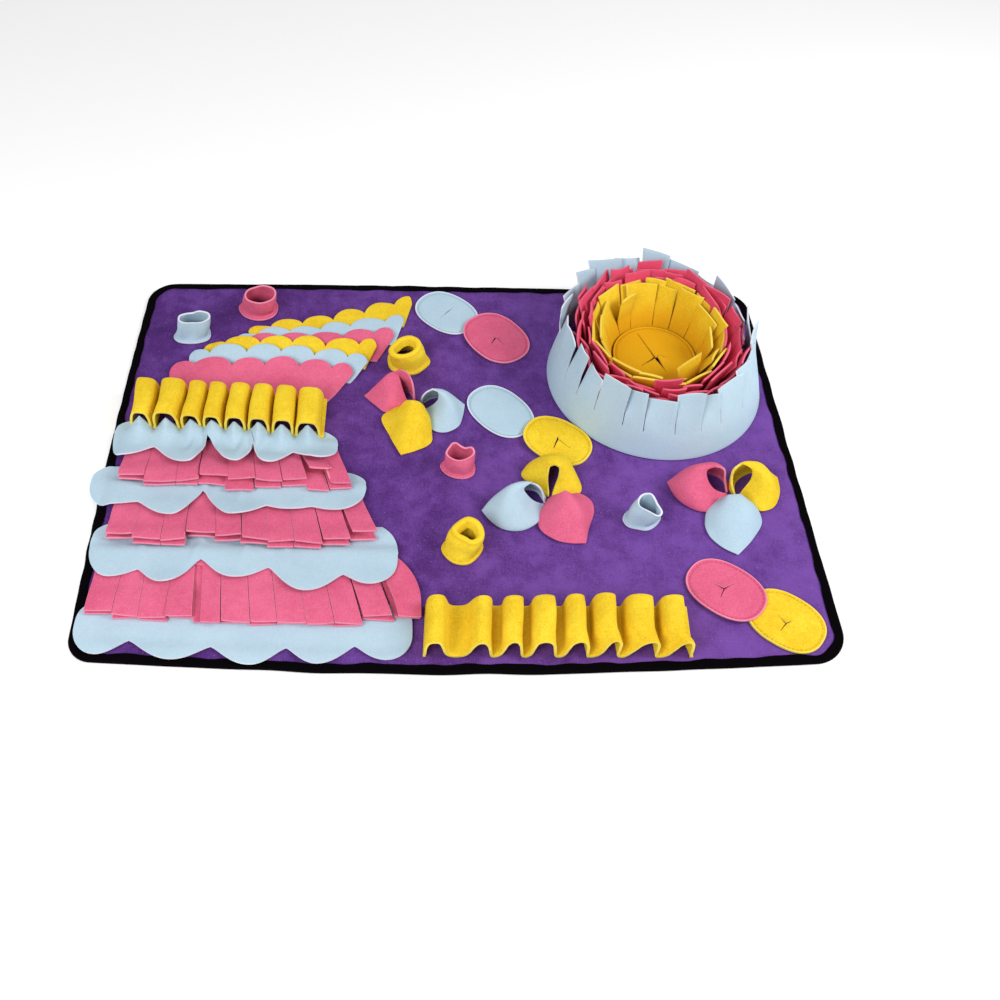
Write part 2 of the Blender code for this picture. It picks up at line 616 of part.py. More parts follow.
def slit_cutter(name, corner, ends, height):
    """Thin upright blades from a slit's corner to the ends of its arms, as one closed cutter."""
    shape = bmesh.new()
    corner = Vector(corner)
    half = SLIT / 2
    ring = []
    arms = sorted((Vector(end) for end in ends), key=lambda end: math.atan2(*(end - corner).yx))
    for index, end in enumerate(arms):
        along = (end - corner).normalized()
        across = Vector((-along.y, along.x)) * half
        following = (arms[(index + 1) % len(arms)] - corner).normalized()
        ring += [end - across, end + across]
        bisector = across + Vector((following.y, -following.x)) * half
        if bisector.length > 0.05:
            ring.append(corner + bisector * (half * half / max(bisector.length_squared / 2, 0.05)))
    low = [shape.verts.new((*point, -height)) for point in ring]
    high = [shape.verts.new((*point, height)) for point in ring]
    shape.faces.new(low)
    shape.faces.new(high)
    for index in range(len(ring)):
        after = (index + 1) % len(ring)
        shape.faces.new((low[index], low[after], high[after], high[index]))
    bmesh.ops.recalc_face_normals(shape, faces=shape.faces)
    cutter = add_object(name, "black", shape)
    cutter.hide_render = True
    cutter.display_type = "WIRE"
    return cutter


def cut(obj, cutter):
    boolean = obj.modifiers.new("Slit", "BOOLEAN")
    boolean.operation = "DIFFERENCE"
    boolean.object = cutter


def flat_disc(name, felt, thick, rx, ry, turn, sides):
    """An oval of felt about its own middle, resting on Z = 0."""
    shape = bmesh.new()
    c, s = math.cos(math.radians(turn)), math.sin(math.radians(turn))
    rim = []
    for side in range(sides):
        angle = 2 * math.pi * side / sides
        u, v = rx * math.cos(angle), ry * math.sin(angle)
        rim.append(shape.verts.new((u * c - v * s, u * s + v * c, 0.0)))
    face = shape.faces.new(rim)
    raised = bmesh.ops.extrude_face_region(shape, geom=[face])["geom"]
    top = [item for item in raised if isinstance(item, bmesh.types.BMVert)]
    bmesh.ops.translate(shape, vec=(0, 0, thick), verts=top)
    bmesh.ops.recalc_face_normals(shape, faces=shape.faces)
    return add_object(name, felt, shape)


def build_discs():
    for disc in DISCS:
        thick = THICKNESS[disc.felt]
        obj = flat_disc(disc.name, disc.felt, thick, disc.rx, disc.ry, disc.turn, DISC_SIDES)
        tilt = math.atan2(disc.rise, disc.rx + disc.ry)
        towards = math.radians(disc.towards)
        axis = Vector((math.sin(towards), -math.cos(towards), 0.0))
        obj.rotation_mode = "AXIS_ANGLE"
        obj.rotation_axis_angle = (tilt, *axis)
        lift = math.sin(tilt) * (disc.rx + disc.ry) / 2
        obj.location = Vector((disc.x, disc.y, FLOOR + lift + (GAP if disc.rise else 0.0))) * MM
        if disc.corner:
            cutter = slit_cutter(disc.name + "_slit", disc.corner, (disc.arm_a, disc.arm_b), 6.0)
            cutter.parent = obj
            cut(obj, cutter)


def build_petals():
    for petal in PETALS:
        thick = THICKNESS[petal.felt]
        heading = math.radians(petal.points)
        along = Vector((math.cos(heading), math.sin(heading), 0.0))
        across = Vector((-math.sin(heading), math.cos(heading), 0.0))
        origin = Vector((petal.x, petal.y, FLOOR + thick / 2 + GAP))
        open_half = thick / 2 + 0.6
        points = []
        for column in range(PETAL_COLUMNS + 1):
            w = 2 * column / PETAL_COLUMNS - 1
            side = math.copysign(1.0, w) if w else 0.0
            away = abs(w)
            ground = (
                along * (7 + (petal.reach - 7) * (1 - away ** petal.blunt))
                + across * side * (open_half + 1.0 + petal.half * math.sin(math.pi * away) ** 0.85)
            )
            height = 1 - away ** 1.4
            mouth = (
                along * petal.lean * height
                + across * (side * (open_half * min(away * 4, 1) + petal.mouth_w * math.sin(math.pi * away ** 0.6))
                            + petal.side * height)
                + Vector((0.0, 0.0, petal.mouth_h * height))
            )
            line = []
            for row in range(PETAL_ROWS + 1):
                share = row / PETAL_ROWS
                swell = petal.swell * 4 * share * (1 - share) * math.cos(math.pi * w / 2)
                bulge = Vector((0.0, 0.0, swell)) + across * side * swell * 0.5
                line.append(origin + ground * (1 - share) + mouth * share + bulge)
            points.append(line)
        sheet(petal.name, petal.felt, thick, points)


# The bowl -------------------------------------------------------------------------------------

def tab_wobble(tab, phase):
    """An even spread of values from -1 to 1 that looks irregular from tab to tab."""
    return math.sin(2.4 * tab + 11.0 * phase)


def build_ring(ring):
    thick = THICKNESS[ring.felt]
    base = BOWL_BASE if ring.name == "bowl_wall" else RING_BASE
    rim = BOWL_RIM if ring.name == "bowl_wall" else RING_RIM
    pitch = 2 * math.pi / ring.tabs
    heights = (0.0, ring.slit, mix(ring.slit, 1.0, 0.5), 1.0)
    points = []
    for tab in range(ring.tabs):
        spread = tab_wobble(tab, ring.turn) * 0.12
        spread_next = tab_wobble(tab + 1, ring.turn) * 0.12 if tab + 1 < ring.tabs else (
            tab_wobble(0, ring.turn) * 0.12)
        for side, slide in ((0, spread), (1, spread_next)):
            column = []
            for height in heights:
                radius = mix(ring.base_r, ring.rim_r, height) + ring.bow * math.sin(math.pi * height)
                half_slit = SLIT / 2 / radius
                angle = (tab + side + slide + ring.turn) * pitch + (-half_slit if side else half_slit)
                free = ramp((height - ring.slit) / (1 - ring.slit))
                twist = ring.twist * (0.4 + 0.6 * tab_wobble(tab, ring.turn + 0.3)) * (1 if side else -1)
                radius += twist * free
                length = ring.height + BACK_RISE * math.sin(angle) + ring.uneven * free * (
                    tab_wobble(tab, ring.turn + 0.7) + 0.4 * (side - 0.5))
                column.append(Vector((
                    mix(base[0], rim[0], height) + radius * math.cos(angle),
                    mix(base[1], rim[1], height) + radius * math.sin(angle),
                    FLOOR + RING_LIFT + height * length,
                )))
            points.append(column)
    sheet(ring.name, ring.felt, thick, points, ring=True,
          keep=lambda column, row: row == 0 or column % 2 == 0)


def build_bowl():
    for ring in BOWL_RINGS:
        build_ring(ring)
    floor = flat_disc("bowl_floor", "yellow", YELLOW_THICK, BOWL_FLOOR_RADIUS, BOWL_FLOOR_RADIUS, 0.0,
                      FLOOR_SIDES)
    floor.location = Vector(BOWL_FLOOR) * MM
    cutter = slit_cutter("bowl_floor_slit", FLOOR_SLIT_CORNER, FLOOR_SLIT_ARMS, 6.0)
    cutter.parent = floor
    cut(floor, cutter)


def main():
    clear_scene()
    build_base()
    build_binding()
    pile = Pile()
    build_skirt(pile)
    build_fan(pile)
    build_loop_strips()
    build_cups()
    build_discs()
    build_petals()
    build_bowl()


main()
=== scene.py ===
"""Looks of a snuffle mat: a bound felt mat with waved, fringed, scalloped and looped felt and a bowl.

Every felt piece is a fine sheet laid on what lies under it and given a real thickness, with its own
cut edge. Shapes are worked out in millimetres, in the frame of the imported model, and become metres
when a mesh is made.
"""
import logging
import math
from dataclasses import dataclass, field
from enum import Enum
from typing import Callable, NamedTuple, Optional, Sequence, Union

import bpy
import numpy as np
from mathutils import Matrix, Vector


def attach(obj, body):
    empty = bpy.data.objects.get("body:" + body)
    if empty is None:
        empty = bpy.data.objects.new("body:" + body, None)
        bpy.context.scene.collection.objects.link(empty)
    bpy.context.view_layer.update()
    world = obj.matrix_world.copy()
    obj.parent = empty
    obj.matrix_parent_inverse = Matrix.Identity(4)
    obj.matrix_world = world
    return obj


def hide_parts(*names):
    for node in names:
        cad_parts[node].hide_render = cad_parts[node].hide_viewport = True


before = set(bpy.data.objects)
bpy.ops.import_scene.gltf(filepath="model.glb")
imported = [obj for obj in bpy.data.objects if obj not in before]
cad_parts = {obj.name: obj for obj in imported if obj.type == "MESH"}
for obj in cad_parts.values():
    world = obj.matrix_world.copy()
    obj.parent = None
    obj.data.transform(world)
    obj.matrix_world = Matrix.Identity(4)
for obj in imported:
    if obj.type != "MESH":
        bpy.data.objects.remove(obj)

LOG = logging.getLogger("snuffle_mat")
MM = 0.001
PER_METRE = 1000.0

# Heights and clearances shared by all the felt, in millimetres.
MAT_THICK = 3.0
GAP = 0.3
FLOOR = MAT_THICK + GAP
SLIT = 0.8

# The bowl's axis in millimetres, then in metres where the painted shade inside it ends, as the squares of
# two radii, and the heights between which that painted shade on its felts fades.
BOWL_X, BOWL_Y = 216.0, 109.0
PIT_SHADE_ENDS = (0.0092, 0.0104)
PIT_SHADE_HEIGHTS = (0.030, 0.068)

Colour = tuple[float, float, float]
Plan = tuple[float, float]
Spot = tuple[float, float, float]


class Felt(Enum):
    """The felts and the tape, with the name of each one's material slot."""

    PURPLE = "purple_felt"
    TAPE = "black_tape"
    BLUE = "blue_felt"
    PINK = "pink_felt"
    YELLOW = "yellow_felt"


THICKNESS = {Felt.BLUE: 1.6, Felt.PINK: 2.0, Felt.YELLOW: 2.4}


class Hold(Enum):
    LAID = "laid"
    FOLDED = "folded"
    STRETCHED = "stretched"


# Numbers ----------------

def mix(a: float, b: float, share: float) -> float:
    """The value that share of the way from a to b."""
    return a + (b - a) * share


def ramp(value: np.ndarray) -> np.ndarray:
    """The value held between 0 and 1."""
    return np.clip(value, 0.0, 1.0)


def ease(value: np.ndarray) -> np.ndarray:
    """A smooth step from 0 to 1."""
    held = ramp(value)
    return held * held * (3 - 2 * held)


def spline(points: np.ndarray, steps: int, closed: bool = False) -> np.ndarray:
    """A smooth line through points along the first axis.

    Args:
        points: At least two points, or rows of points, as an array whose last axis is x, y, z.
        steps: How many spans each stretch between two points becomes.
        closed: Whether the line runs on from the last point to the first.

    Returns:
        The finer points, with the given ones among them.
    """
    points = np.asarray(points, float)
    ring = [points[-1:], points, points[:2]] if closed else [
        2 * points[:1] - points[1:2], points, 2 * points[-1:] - points[-2:-1]]
    line = np.concatenate(ring)
    gaps = np.linalg.norm(np.diff(line, axis=0), axis=-1).reshape(len(line) - 1, -1).mean(axis=1)
    gaps = np.maximum(gaps, 1e-6) ** 0.5
    shape = (-1,) + (1,) * (points.ndim - 1)
    before, after = gaps[:-1].reshape(shape), gaps[1:].reshape(shape)
    slopes = (np.diff(line[:-1], axis=0) / before * after + np.diff(line[1:], axis=0) / after * before)
    slopes = slopes / (before + after)
    count = len(points) if closed else len(points) - 1
    made = []
    for place in range(count):
        start, end = line[place + 1], line[place + 2]
        rise, fall = slopes[place], slopes[(place + 1) % len(slopes)]
        span = gaps[place + 1]
        for step in range(steps):
            t = step / steps
            made.append(
                (2 * t ** 3 - 3 * t ** 2 + 1) * start + (t ** 3 - 2 * t ** 2 + t) * span * rise
                + (3 * t ** 2 - 2 * t ** 3) * end + (t ** 3 - t ** 2) * span * fall)
    if not closed:
        made.append(points[-1])
    return np.array(made)


class Ripple:
    """A smooth random swell over the plan, the same for the same seed."""

    def __init__(self, wavelength: float, seed: int, waves: int = 6) -> None:
        """Draws the directions and phases of the waves.

        Args:
            wavelength: About how long the waves are, in the unit of the plan.
            seed: What the random draw starts from.
            waves: How many waves are summed.
        """
        draw = np.random.RandomState(seed)
        turn = draw.uniform(0, 2 * math.pi, waves)
        pace = 2 * math.pi / (wavelength * draw.uniform(0.7, 1.5, waves))
        self.across, self.along = np.cos(turn) * pace, np.sin(turn) * pace
        self.phase = draw.uniform(0, 2 * math.pi, waves)

    def __call__(self, x: np.ndarray, y: np.ndarray) -> np.ndarray:
        """The swell at (x, y), about -1 to 1."""
        turns = np.asarray(x, float)[..., None] * self.across + np.asarray(y, float)[..., None] * self.along
        return np.sin(turns + self.phase).sum(axis=-1) / math.sqrt(len(self.phase))


# Shader nodes ----------------

class Value:
    """A shader socket that can be used in sums, each of which adds a Math node."""

    def __init__(self, graph: "Graph", socket: bpy.types.NodeSocket) -> None:
        """Wraps the socket."""
        self.graph, self.socket = graph, socket

    def _math(self, operation: str, first: "Number", second: "Number" = 0.0) -> "Value":
        """A Math node of two inputs."""
        node = self.graph.node("ShaderNodeMath", {"operation": operation}, {0: first, 1: second})
        return node[0]

    def __add__(self, other: "Number") -> "Value":
        """Sum."""
        return self._math("ADD", self, other)

    def __sub__(self, other: "Number") -> "Value":
        """Difference."""
        return self._math("SUBTRACT", self, other)

    def __mul__(self, other: "Number") -> "Value":
        """Product."""
        return self._math("MULTIPLY", self, other)

    def __rsub__(self, other: "Number") -> "Value":
        """Difference from a number."""
        return self._math("SUBTRACT", other, self)

    __radd__, __rmul__ = __add__, __mul__

    def above(self, low: float, high: float) -> "Value":
        """0 below low, 1 above high and smooth between."""
        settings = {"interpolation_type": "SMOOTHSTEP"}
        return self.graph.node("ShaderNodeMapRange", settings, {"Value": self, 1: low, 2: high})[0]


Number = Union[float, Value]


class Graph:
    """The node tree of one material."""

    def __init__(self, name: str) -> None:
        """Makes the material and finds its main shader.

        Args:
            name: The material's name.
        """
        self.material = bpy.data.materials.new(name)
        self.material.use_nodes = True
        self.tree = self.material.node_tree
        self.shader = self.tree.nodes["Principled BSDF"]

    def feed(self, socket: bpy.types.NodeSocket, value: object) -> None:
        """Links a Value to a socket, or sets a number, vector or colour on it.

        Args:
            socket: The input to feed.
            value: What it gets.
        """
        if isinstance(value, Value):
            self.tree.links.new(value.socket, socket)
        elif isinstance(value, tuple) and socket.type == "RGBA":
            socket.default_value = (*value, 1.0)
        else:
            socket.default_value = value

    def node(self, kind: str, settings: Optional[dict] = None, inputs: Optional[dict] = None) -> list[Value]:
        """Adds a node.

        Args:
            kind: The node's type.
            settings: Its properties, set before its sockets.
            inputs: Values or links, by socket name or number.

        Returns:
            Its outputs.
        """
        made = self.tree.nodes.new(kind)
        for key, value in (settings or {}).items():
            setattr(made, key, value)
        for key, value in (inputs or {}).items():
            self.feed(made.inputs[key], value)
        return [Value(self, socket) for socket in made.outputs]

    def place(self) -> Value:
        """The place on the object, in metres."""
        return self.node("ShaderNodeTexCoord")[3]

    def sides(self, place: Value) -> list[Value]:
        """The x, y and z of a place."""
        return self.node("ShaderNodeSeparateXYZ", None, {0: place})

    def stretched(self, place: Value, scale: Spot, turn: float) -> Value:
        """The place turned about Z and scaled, for streaks."""
        inputs = {"Vector": place, "Rotation": (0.0, 0.0, turn), "Scale": scale}
        return self.node("ShaderNodeMapping", None, inputs)[0]

    def noise(self, place: Value, size: float, detail: float = 2.0, warp: float = 0.0) -> Value:
        """Soft noise whose spots are about size millimetres across."""
        inputs = {"Vector": place, "Scale": PER_METRE / size, "Detail": detail, "Distortion": warp}
        return self.node("ShaderNodeTexNoise", None, inputs)[0]

    def blend(self, share: Number, low: object, high: object) -> Value:
        """A colour between two colours."""
        return self.node("ShaderNodeMix", {"data_type": "RGBA"}, {0: share, 6: low, 7: high})[2]

    def bump(self, height: Value, strength: float, depth: float) -> None:
        """Feeds the shader's normal from a height, in millimetres."""
        inputs = {"Height": height, "Strength": strength, "Distance": depth * MM}
        self.feed(self.shader.inputs["Normal"], self.node("ShaderNodeBump", None, inputs)[0])

    def set(self, **values: object) -> None:
        """Sets or links the shader's inputs, named with _ for a space."""
        for key, value in values.items():
            self.feed(self.shader.inputs[key.replace("_", " ")], value)


@dataclass(frozen=True)
class FeltFinish:
    """Needled felt: its tones, how blotchy it is, its flecks and the fuzz of its surface.

    Sizes are in millimetres. Inside the bowl, where the felts stand close together, it can take a painted
    shade, a darker and deeper tone, and its shares say how much of that shade it takes at the bowl's floor
    and at its rim.
    """

    name: str
    light: Colour
    dark: Colour
    fleck: Colour
    edge: Colour
    blotch: float = 9.0
    flecks: float = 0.72
    fleck_size: float = 1.5
    relief: float = 0.35
    fuzz: float = 0.08
    clouds: float = 0.12
    patches: float = 0.0
    painted_sheen_drift: float = 0.0
    pit_shade: Optional[Colour] = None
    pit_shade_shares: Plan = (0.8, 0.5)
    fibre: float = 1.3
    thread: float = 1.1
    nap_shares: tuple = (0.4, 0.35, 0.25)
    tone_range: Plan = (0.34, 0.66)
    patch_range: Plan = (0.32, 0.72)
    roughness: Plan = (0.82, 1.02)
    edge_shade: float = 0.82

    def _make(self, name: str, light: Colour, dark: Colour, relief: float) -> bpy.types.Material:
        """One felt surface between two tones.

        Args:
            name: The material's name.
            light: The tone of the raised nap.
            dark: The tone of the hollows.
            relief: How strong the bump is.

        Returns:
            The material.
        """
        graph = Graph(name)
        place = graph.place()
        fine = graph.noise(place, self.fibre, 3.0, 0.4)
        along = graph.noise(graph.stretched(place, (1.0, 0.22, 0.6), 0.7), self.thread, 3.0, 1.2)
        across = graph.noise(graph.stretched(place, (0.25, 1.0, 0.6), 0.3), self.fibre, 2.0, 1.2)
        cloud = graph.noise(place, self.blotch)
        wide = graph.noise(place, self.blotch * 6)
        nap = fine * self.nap_shares[0] + along * self.nap_shares[1] + across * self.nap_shares[2]
        tone = nap * (0.88 - self.clouds * 2) + cloud * self.clouds + wide * (self.clouds + 0.12)
        if self.patches:
            # Here and there the nap stands up in soft paler patches.
            patch = graph.noise(place, self.blotch * 1.8).above(*self.patch_range)
            tone = tone + (patch - 0.4) * self.patches
        if self.painted_sheen_drift:
            # Painted light: the tone grows lighter along x, towards the right of the mat, for the sheen of a
            # nap that lies over one way.
            tone = tone + graph.sides(place)[0] * self.painted_sheen_drift
        colour = graph.blend(tone.above(*self.tone_range), dark, light)
        # Painted shade: inside the bowl the felt is blended towards a darker, deeper tone, most at its
        # floor, for the shade where its rings stand close together.
        if self.pit_shade:
            colour = graph.blend(self._pit_shade_share(graph, place), colour, self.pit_shade)
        speck = graph.noise(place, self.fleck_size, 1.0).above(self.flecks, self.flecks + 0.08)
        smooth, rough = self.roughness
        graph.set(
            Base_Color=graph.blend(speck * 0.5, colour, self.fleck),
            Roughness=nap * (rough - smooth) + smooth, Sheen_Weight=self.fuzz, Sheen_Roughness=0.45,
            Sheen_Tint=light, Specular_IOR_Level=0.12)
        graph.bump(nap + cloud * 0.5, relief, 0.8)
        return graph.material

    def _pit_shade_share(self, graph: Graph, place: Value) -> Value:
        """How much of the painted shade inside the bowl a place takes, less the higher it is.

        Args:
            graph: The material's node tree.
            place: The place on the mat, in metres.

        Returns:
            The share, 0 outside the bowl.
        """
        x, y, z = graph.sides(place)
        x, y = x - BOWL_X * MM, y - BOWL_Y * MM
        inside = 1.0 - (x * x + y * y).above(*PIT_SHADE_ENDS)
        low, high = self.pit_shade_shares
        return inside * (low - z.above(*PIT_SHADE_HEIGHTS) * (low - high))

    def face(self) -> bpy.types.Material:
        """The felt's face."""
        return self._make(self.name, self.light, self.dark, self.relief)

    def cut(self) -> bpy.types.Material:
        """The felt's cut edge, paler than its face on most felts: partly its fuzzy cut, partly a painted
        highlight.
        """
        shade = tuple(part * self.edge_shade for part in self.edge)
        return self._make(self.name + "_edge", self.edge, shade, self.relief * 1.3)


@dataclass(frozen=True)
class TapeFinish:
    """Woven binding tape: fine ribs across a dark cloth."""

    name: str = "black_tape"
    light: Colour = (0.0030, 0.0022, 0.0032)
    dark: Colour = (0.0010, 0.0006, 0.0011)
    rib: float = 0.9
    lint: float = 2.2

    def face(self) -> bpy.types.Material:
        """The tape's face.

        Returns:
            The material.
        """
        graph = Graph(self.name)
        place = graph.place()
        waves = [
            graph.node("ShaderNodeTexWave", {"bands_direction": axis}, {
                "Vector": place, "Scale": PER_METRE / self.rib / 6.3, "Distortion": 1.5, "Detail": 1.0})[1]
            for axis in ("X", "Y")]
        weave = waves[0] * 0.5 + waves[1] * 0.5
        lint = graph.noise(place, self.lint, 3.0, 0.6)
        graph.set(
            Base_Color=graph.blend(weave * 0.6 + lint * 0.4, self.dark, self.light),
            Roughness=lint * 0.2 + 0.75, Sheen_Weight=0.0, Specular_IOR_Level=0.02)
        graph.bump(weave + lint * 0.6, 0.5, 0.25)
        return graph.material

    def cut(self) -> bpy.types.Material:
        """The tape's selvedge, which is as its face."""
        return self.face()


# Each finish's fourth colour is its cut edge. On the blue, pink and yellow felts it is paler than the face:
# partly the fuzzy cut, partly a painted highlight where the edges catch the light.
FINISHES = {
    Felt.PURPLE: FeltFinish(
        "purple_felt", (0.168, 0.066, 0.335), (0.072, 0.020, 0.150), (0.40, 0.27, 0.60),
        (0.13, 0.04, 0.25), blotch=11.0, flecks=0.70, relief=0.55, fuzz=0.10, clouds=0.13, patches=0.09,
        painted_sheen_drift=0.24),
    Felt.TAPE: TapeFinish(),
    Felt.BLUE: FeltFinish(
        "blue_felt", (0.490, 0.640, 0.735), (0.400, 0.550, 0.665), (0.36, 0.48, 0.60), (0.80, 0.82, 0.92),
        blotch=14.0, flecks=0.74, relief=0.22),
    Felt.PINK: FeltFinish(
        "pink_felt", (0.800, 0.165, 0.290), (0.620, 0.088, 0.185), (0.90, 0.36, 0.47), (0.90, 0.30, 0.43),
        blotch=12.0, relief=0.28, pit_shade=(0.74, 0.045, 0.105), pit_shade_shares=(0.85, 0.65)),
    Felt.YELLOW: FeltFinish(
        "yellow_felt", (0.925, 0.700, 0.045), (0.740, 0.450, 0.010), (0.50, 0.27, 0.01), (0.93, 0.74, 0.11),
        blotch=7.0, flecks=0.70, relief=0.6, pit_shade=(0.66, 0.32, 0.004), pit_shade_shares=(0.85, 0.10)),
}


class Finishes:
    """The materials of the felts, each made once."""

    def __init__(self) -> None:
        """Starts with none made."""
        self._made: dict[Felt, tuple] = {}

    def of(self, felt: Felt) -> tuple:
        """The face and the cut edge of a felt.

        Args:
            felt: Which felt.

        Returns:
            Its two materials.
        """
        if felt not in self._made:
            finish = FINISHES[felt]
            self._made[felt] = (finish.face(), finish.cut())
        return self._made[felt]


MADE = Finishes()


# Sheets ----------------

# Where two faces meet at more than this, in degrees, a sheet has a cut edge.
EDGE_ANGLE = 55


def arc(line: np.ndarray) -> float:
    """The length of a line of points."""
    return float(np.linalg.norm(np.diff(line, axis=0), axis=-1).sum())


def mesh_object(name: str, verts: np.ndarray, faces: Sequence, looks: Sequence[int],
                felt: Felt) -> bpy.types.Object:
    """A new object in the scene.

    Args:
        name: The piece's name.
        verts: Its points, in millimetres.
        faces: The points of each face.
        looks: For each face, 0 for the felt's face or 1 for its cut edge.
        felt: What it is made of.

    Returns:
        The object.
    """
    mesh = bpy.data.meshes.new(name)
    mesh.from_pydata((np.asarray(verts) * MM).tolist(), [], [list(map(int, face)) for face in faces])
    mesh.polygons.foreach_set("material_index", list(looks))
    mesh.polygons.foreach_set("use_smooth", [True] * len(mesh.polygons))
    for material in MADE.of(felt):
        mesh.materials.append(material)
    mesh.update()
    made = bpy.data.objects.new(name, mesh)
    bpy.context.scene.collection.objects.link(made)
    return made


def applied(obj: bpy.types.Object) -> bpy.types.Object:
    """The same object with its modifiers made part of its mesh.

    Args:
        obj: The object, which is changed.

    Returns:
        That object.
    """
    graph = bpy.context.evaluated_depsgraph_get()
    mesh = bpy.data.meshes.new_from_object(obj.evaluated_get(graph))
    obj.modifiers.clear()
    obj.data = mesh
    return obj


@dataclass
class Sheet:
    """A felt sheet: points[column][row] on its middle surface, and how thick it is.

    A ring closes on itself across its columns. keep marks the cells that are felt and not a slit, bevel
    is how far the cut edges are rounded, and square declares a sheet that was cut as a square.
    """

    node: str
    felt: Felt
    points: np.ndarray
    thick: float
    ring: bool = False
    keep: Optional[np.ndarray] = None
    bevel: float = 0.35
    square: bool = False

    def normals(self) -> np.ndarray:
        """The way out of the sheet at each point.

        Returns:
            A unit vector for each point.
        """
        if self.ring:
            across = np.roll(self.points, -1, axis=0) - np.roll(self.points, 1, axis=0)
        else:
            across = np.gradient(self.points, axis=0)
        along = np.gradient(self.points, axis=1)
        out = np.cross(across, along)
        return out / np.maximum(np.linalg.norm(out, axis=-1, keepdims=True), 1e-9)

    def flat(self) -> tuple[tuple[float, float], float]:
        """The size the sheet is cut to.

        Returns:
            Its width and length in metres, and its area in square metres.
        """
        points = np.concatenate([self.points, self.points[:1]]) if self.ring else self.points
        width = max(arc(points[:, row]) for row in range(points.shape[1]))
        length = max(arc(column) for column in points)
        near, beside = points[:-1, :-1], points[1:, :-1]
        above, across = points[:-1, 1:], points[1:, 1:]
        halves = (np.cross(beside - near, above - near), np.cross(across - beside, across - above))
        cells = sum(np.linalg.norm(half, axis=-1) for half in halves) / 2
        if self.keep is not None:
            cells = cells * self.keep
        if self.square:
            width = length = math.sqrt(cells.sum())
        area = min(float(cells.sum()), width * length)
        return (width * MM, length * MM), area * MM * MM

    def build(self) -> bpy.types.Object:
        """The sheet as a closed solid with softly rounded cut edges.

        Returns:
            The object, whose name is the node's with _felt.
        """
        columns, rows = self.points.shape[:2]
        half = self.normals() * (self.thick / 2)
        top, low = self.points + half, self.points - half
        spans = columns if self.ring else columns - 1
        keep = np.ones((spans, rows - 1), bool) if self.keep is None else self.keep
        number = np.arange(columns * rows).reshape(columns, rows)
        below = columns * rows
        faces: list = []
        rims: dict = {}
        for column, row in zip(*np.nonzero(keep)):
            here, beside = number[column], number[(column + 1) % columns]
            quad = (here[row], beside[row], beside[row + 1], here[row + 1])
            faces.append(quad)
            faces.append(tuple(below + corner for corner in reversed(quad)))
            for start, end in zip(quad, quad[1:] + quad[:1]):
                if (end, start) in rims:
                    del rims[(end, start)]
                else:
                    rims[(start, end)] = True
        looks = [0] * len(faces)
        # Rim faces take the cut-edge material, whose paler tone is partly a painted highlight.
        for start, end in rims:
            faces.append((end, start, below + start, below + end))
            looks.append(1)
        verts = np.concatenate([top.reshape(-1, 3), low.reshape(-1, 3)])
        used = np.unique(np.array([corner for face in faces for corner in face]))
        place = np.full(len(verts), -1)
        place[used] = np.arange(len(used))
        made = mesh_object(self.node + "_felt", verts[used], [[place[c] for c in face] for face in faces],
                           looks, self.felt)
        if self.bevel:
            soft = made.modifiers.new("Edge", "BEVEL")
            soft.width = self.bevel * MM
            soft.segments = 2
            # The rounded edges take the cut-edge material too, whose paler tone is partly a painted
            # highlight.
            soft.material = 1
            soft.limit_method = "ANGLE"
            soft.angle_limit = math.radians(EDGE_ANGLE)
            made = applied(made)
        return made


def declare(sheet: Sheet, made: bpy.types.Object,
            extras: Sequence[bpy.types.Object] = ()) -> None:
    """Hides the part that a finished felt piece stands for and lets the piece and its sewing ride on the
    root body.

    Args:
        sheet: What it was built from.
        made: The piece.
        extras: Its sewing.
    """
    flat, area = sheet.flat()
    enrol(made, sheet.node)
    for extra in extras:
        enrol(extra)
    share = area / (flat[0] * flat[1])
    area if 0.3 <= share < 0.999 else None


def enrol(made: bpy.types.Object, node: Optional[str] = None) -> None:
    """Lets a piece ride on the root body and hides the node that it stands for.

    Args:
        made: The piece.
        node: The node that it replaces, if any.
    """
    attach(made, "root")
    if node:
        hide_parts(node)


@dataclass
class Stitches:
    """A closed line of sewing thread: short raised runs that dip into the felt at both ends.

    Each stop is a place along a stitch, with its rise and its size as shares of the thread's radius.
    """

    name: str
    felt: Felt
    line: np.ndarray
    stitch: float = 2.7
    gap: float = 0.9
    radius: float = 0.32
    sides: int = 6
    stops: tuple = (
        (0.0, -0.5, 0.35), (0.12, 0.1, 0.9), (0.5, 0.45, 1.0), (0.88, 0.1, 0.9), (1.0, -0.5, 0.35))

    def build(self) -> bpy.types.Object:
        """All the stitches of the line.

        Returns:
            One object.
        """
        line = np.concatenate([self.line, self.line[:1]])
        reach = np.concatenate([[0.0], np.cumsum(np.linalg.norm(np.diff(line, axis=0), axis=1))])
        pitch = self.stitch + self.gap
        count = max(int(reach[-1] / pitch), 1)
        pitch = reach[-1] / count
        verts: list = []
        faces: list = []
        for number in range(count):
            base = len(verts)
            for share, rise, size in self.stops:
                at = number * pitch + share * self.stitch
                spot, ahead = (np.array([np.interp(to, reach, line[:, axis]) for axis in range(3)])
                               for to in (at, at + 0.5))
                side = np.cross((0.0, 0.0, 1.0), ahead - spot)
                side = side / max(np.linalg.norm(side), 1e-9)
                for corner in range(self.sides):
                    angle = 2 * math.pi * corner / self.sides
                    verts.append(
                        spot + self.radius * size * math.cos(angle) * side
                        + np.array((0.0, 0.0, self.radius * (size * math.sin(angle) + rise))))
            rings = [list(range(base + ring * self.sides, base + (ring + 1) * self.sides))
                     for ring in range(len(self.stops))]
            for low, high in zip(rings, rings[1:]):
                for corner in range(self.sides):
                    after = (corner + 1) % self.sides
                    faces.append((low[corner], low[after], high[after], high[corner]))
            faces.append(tuple(reversed(rings[0])))
            faces.append(tuple(rings[-1]))
        return mesh_object(self.name, np.array(verts), faces, [0] * len(faces), self.felt)


# The mat ----------------

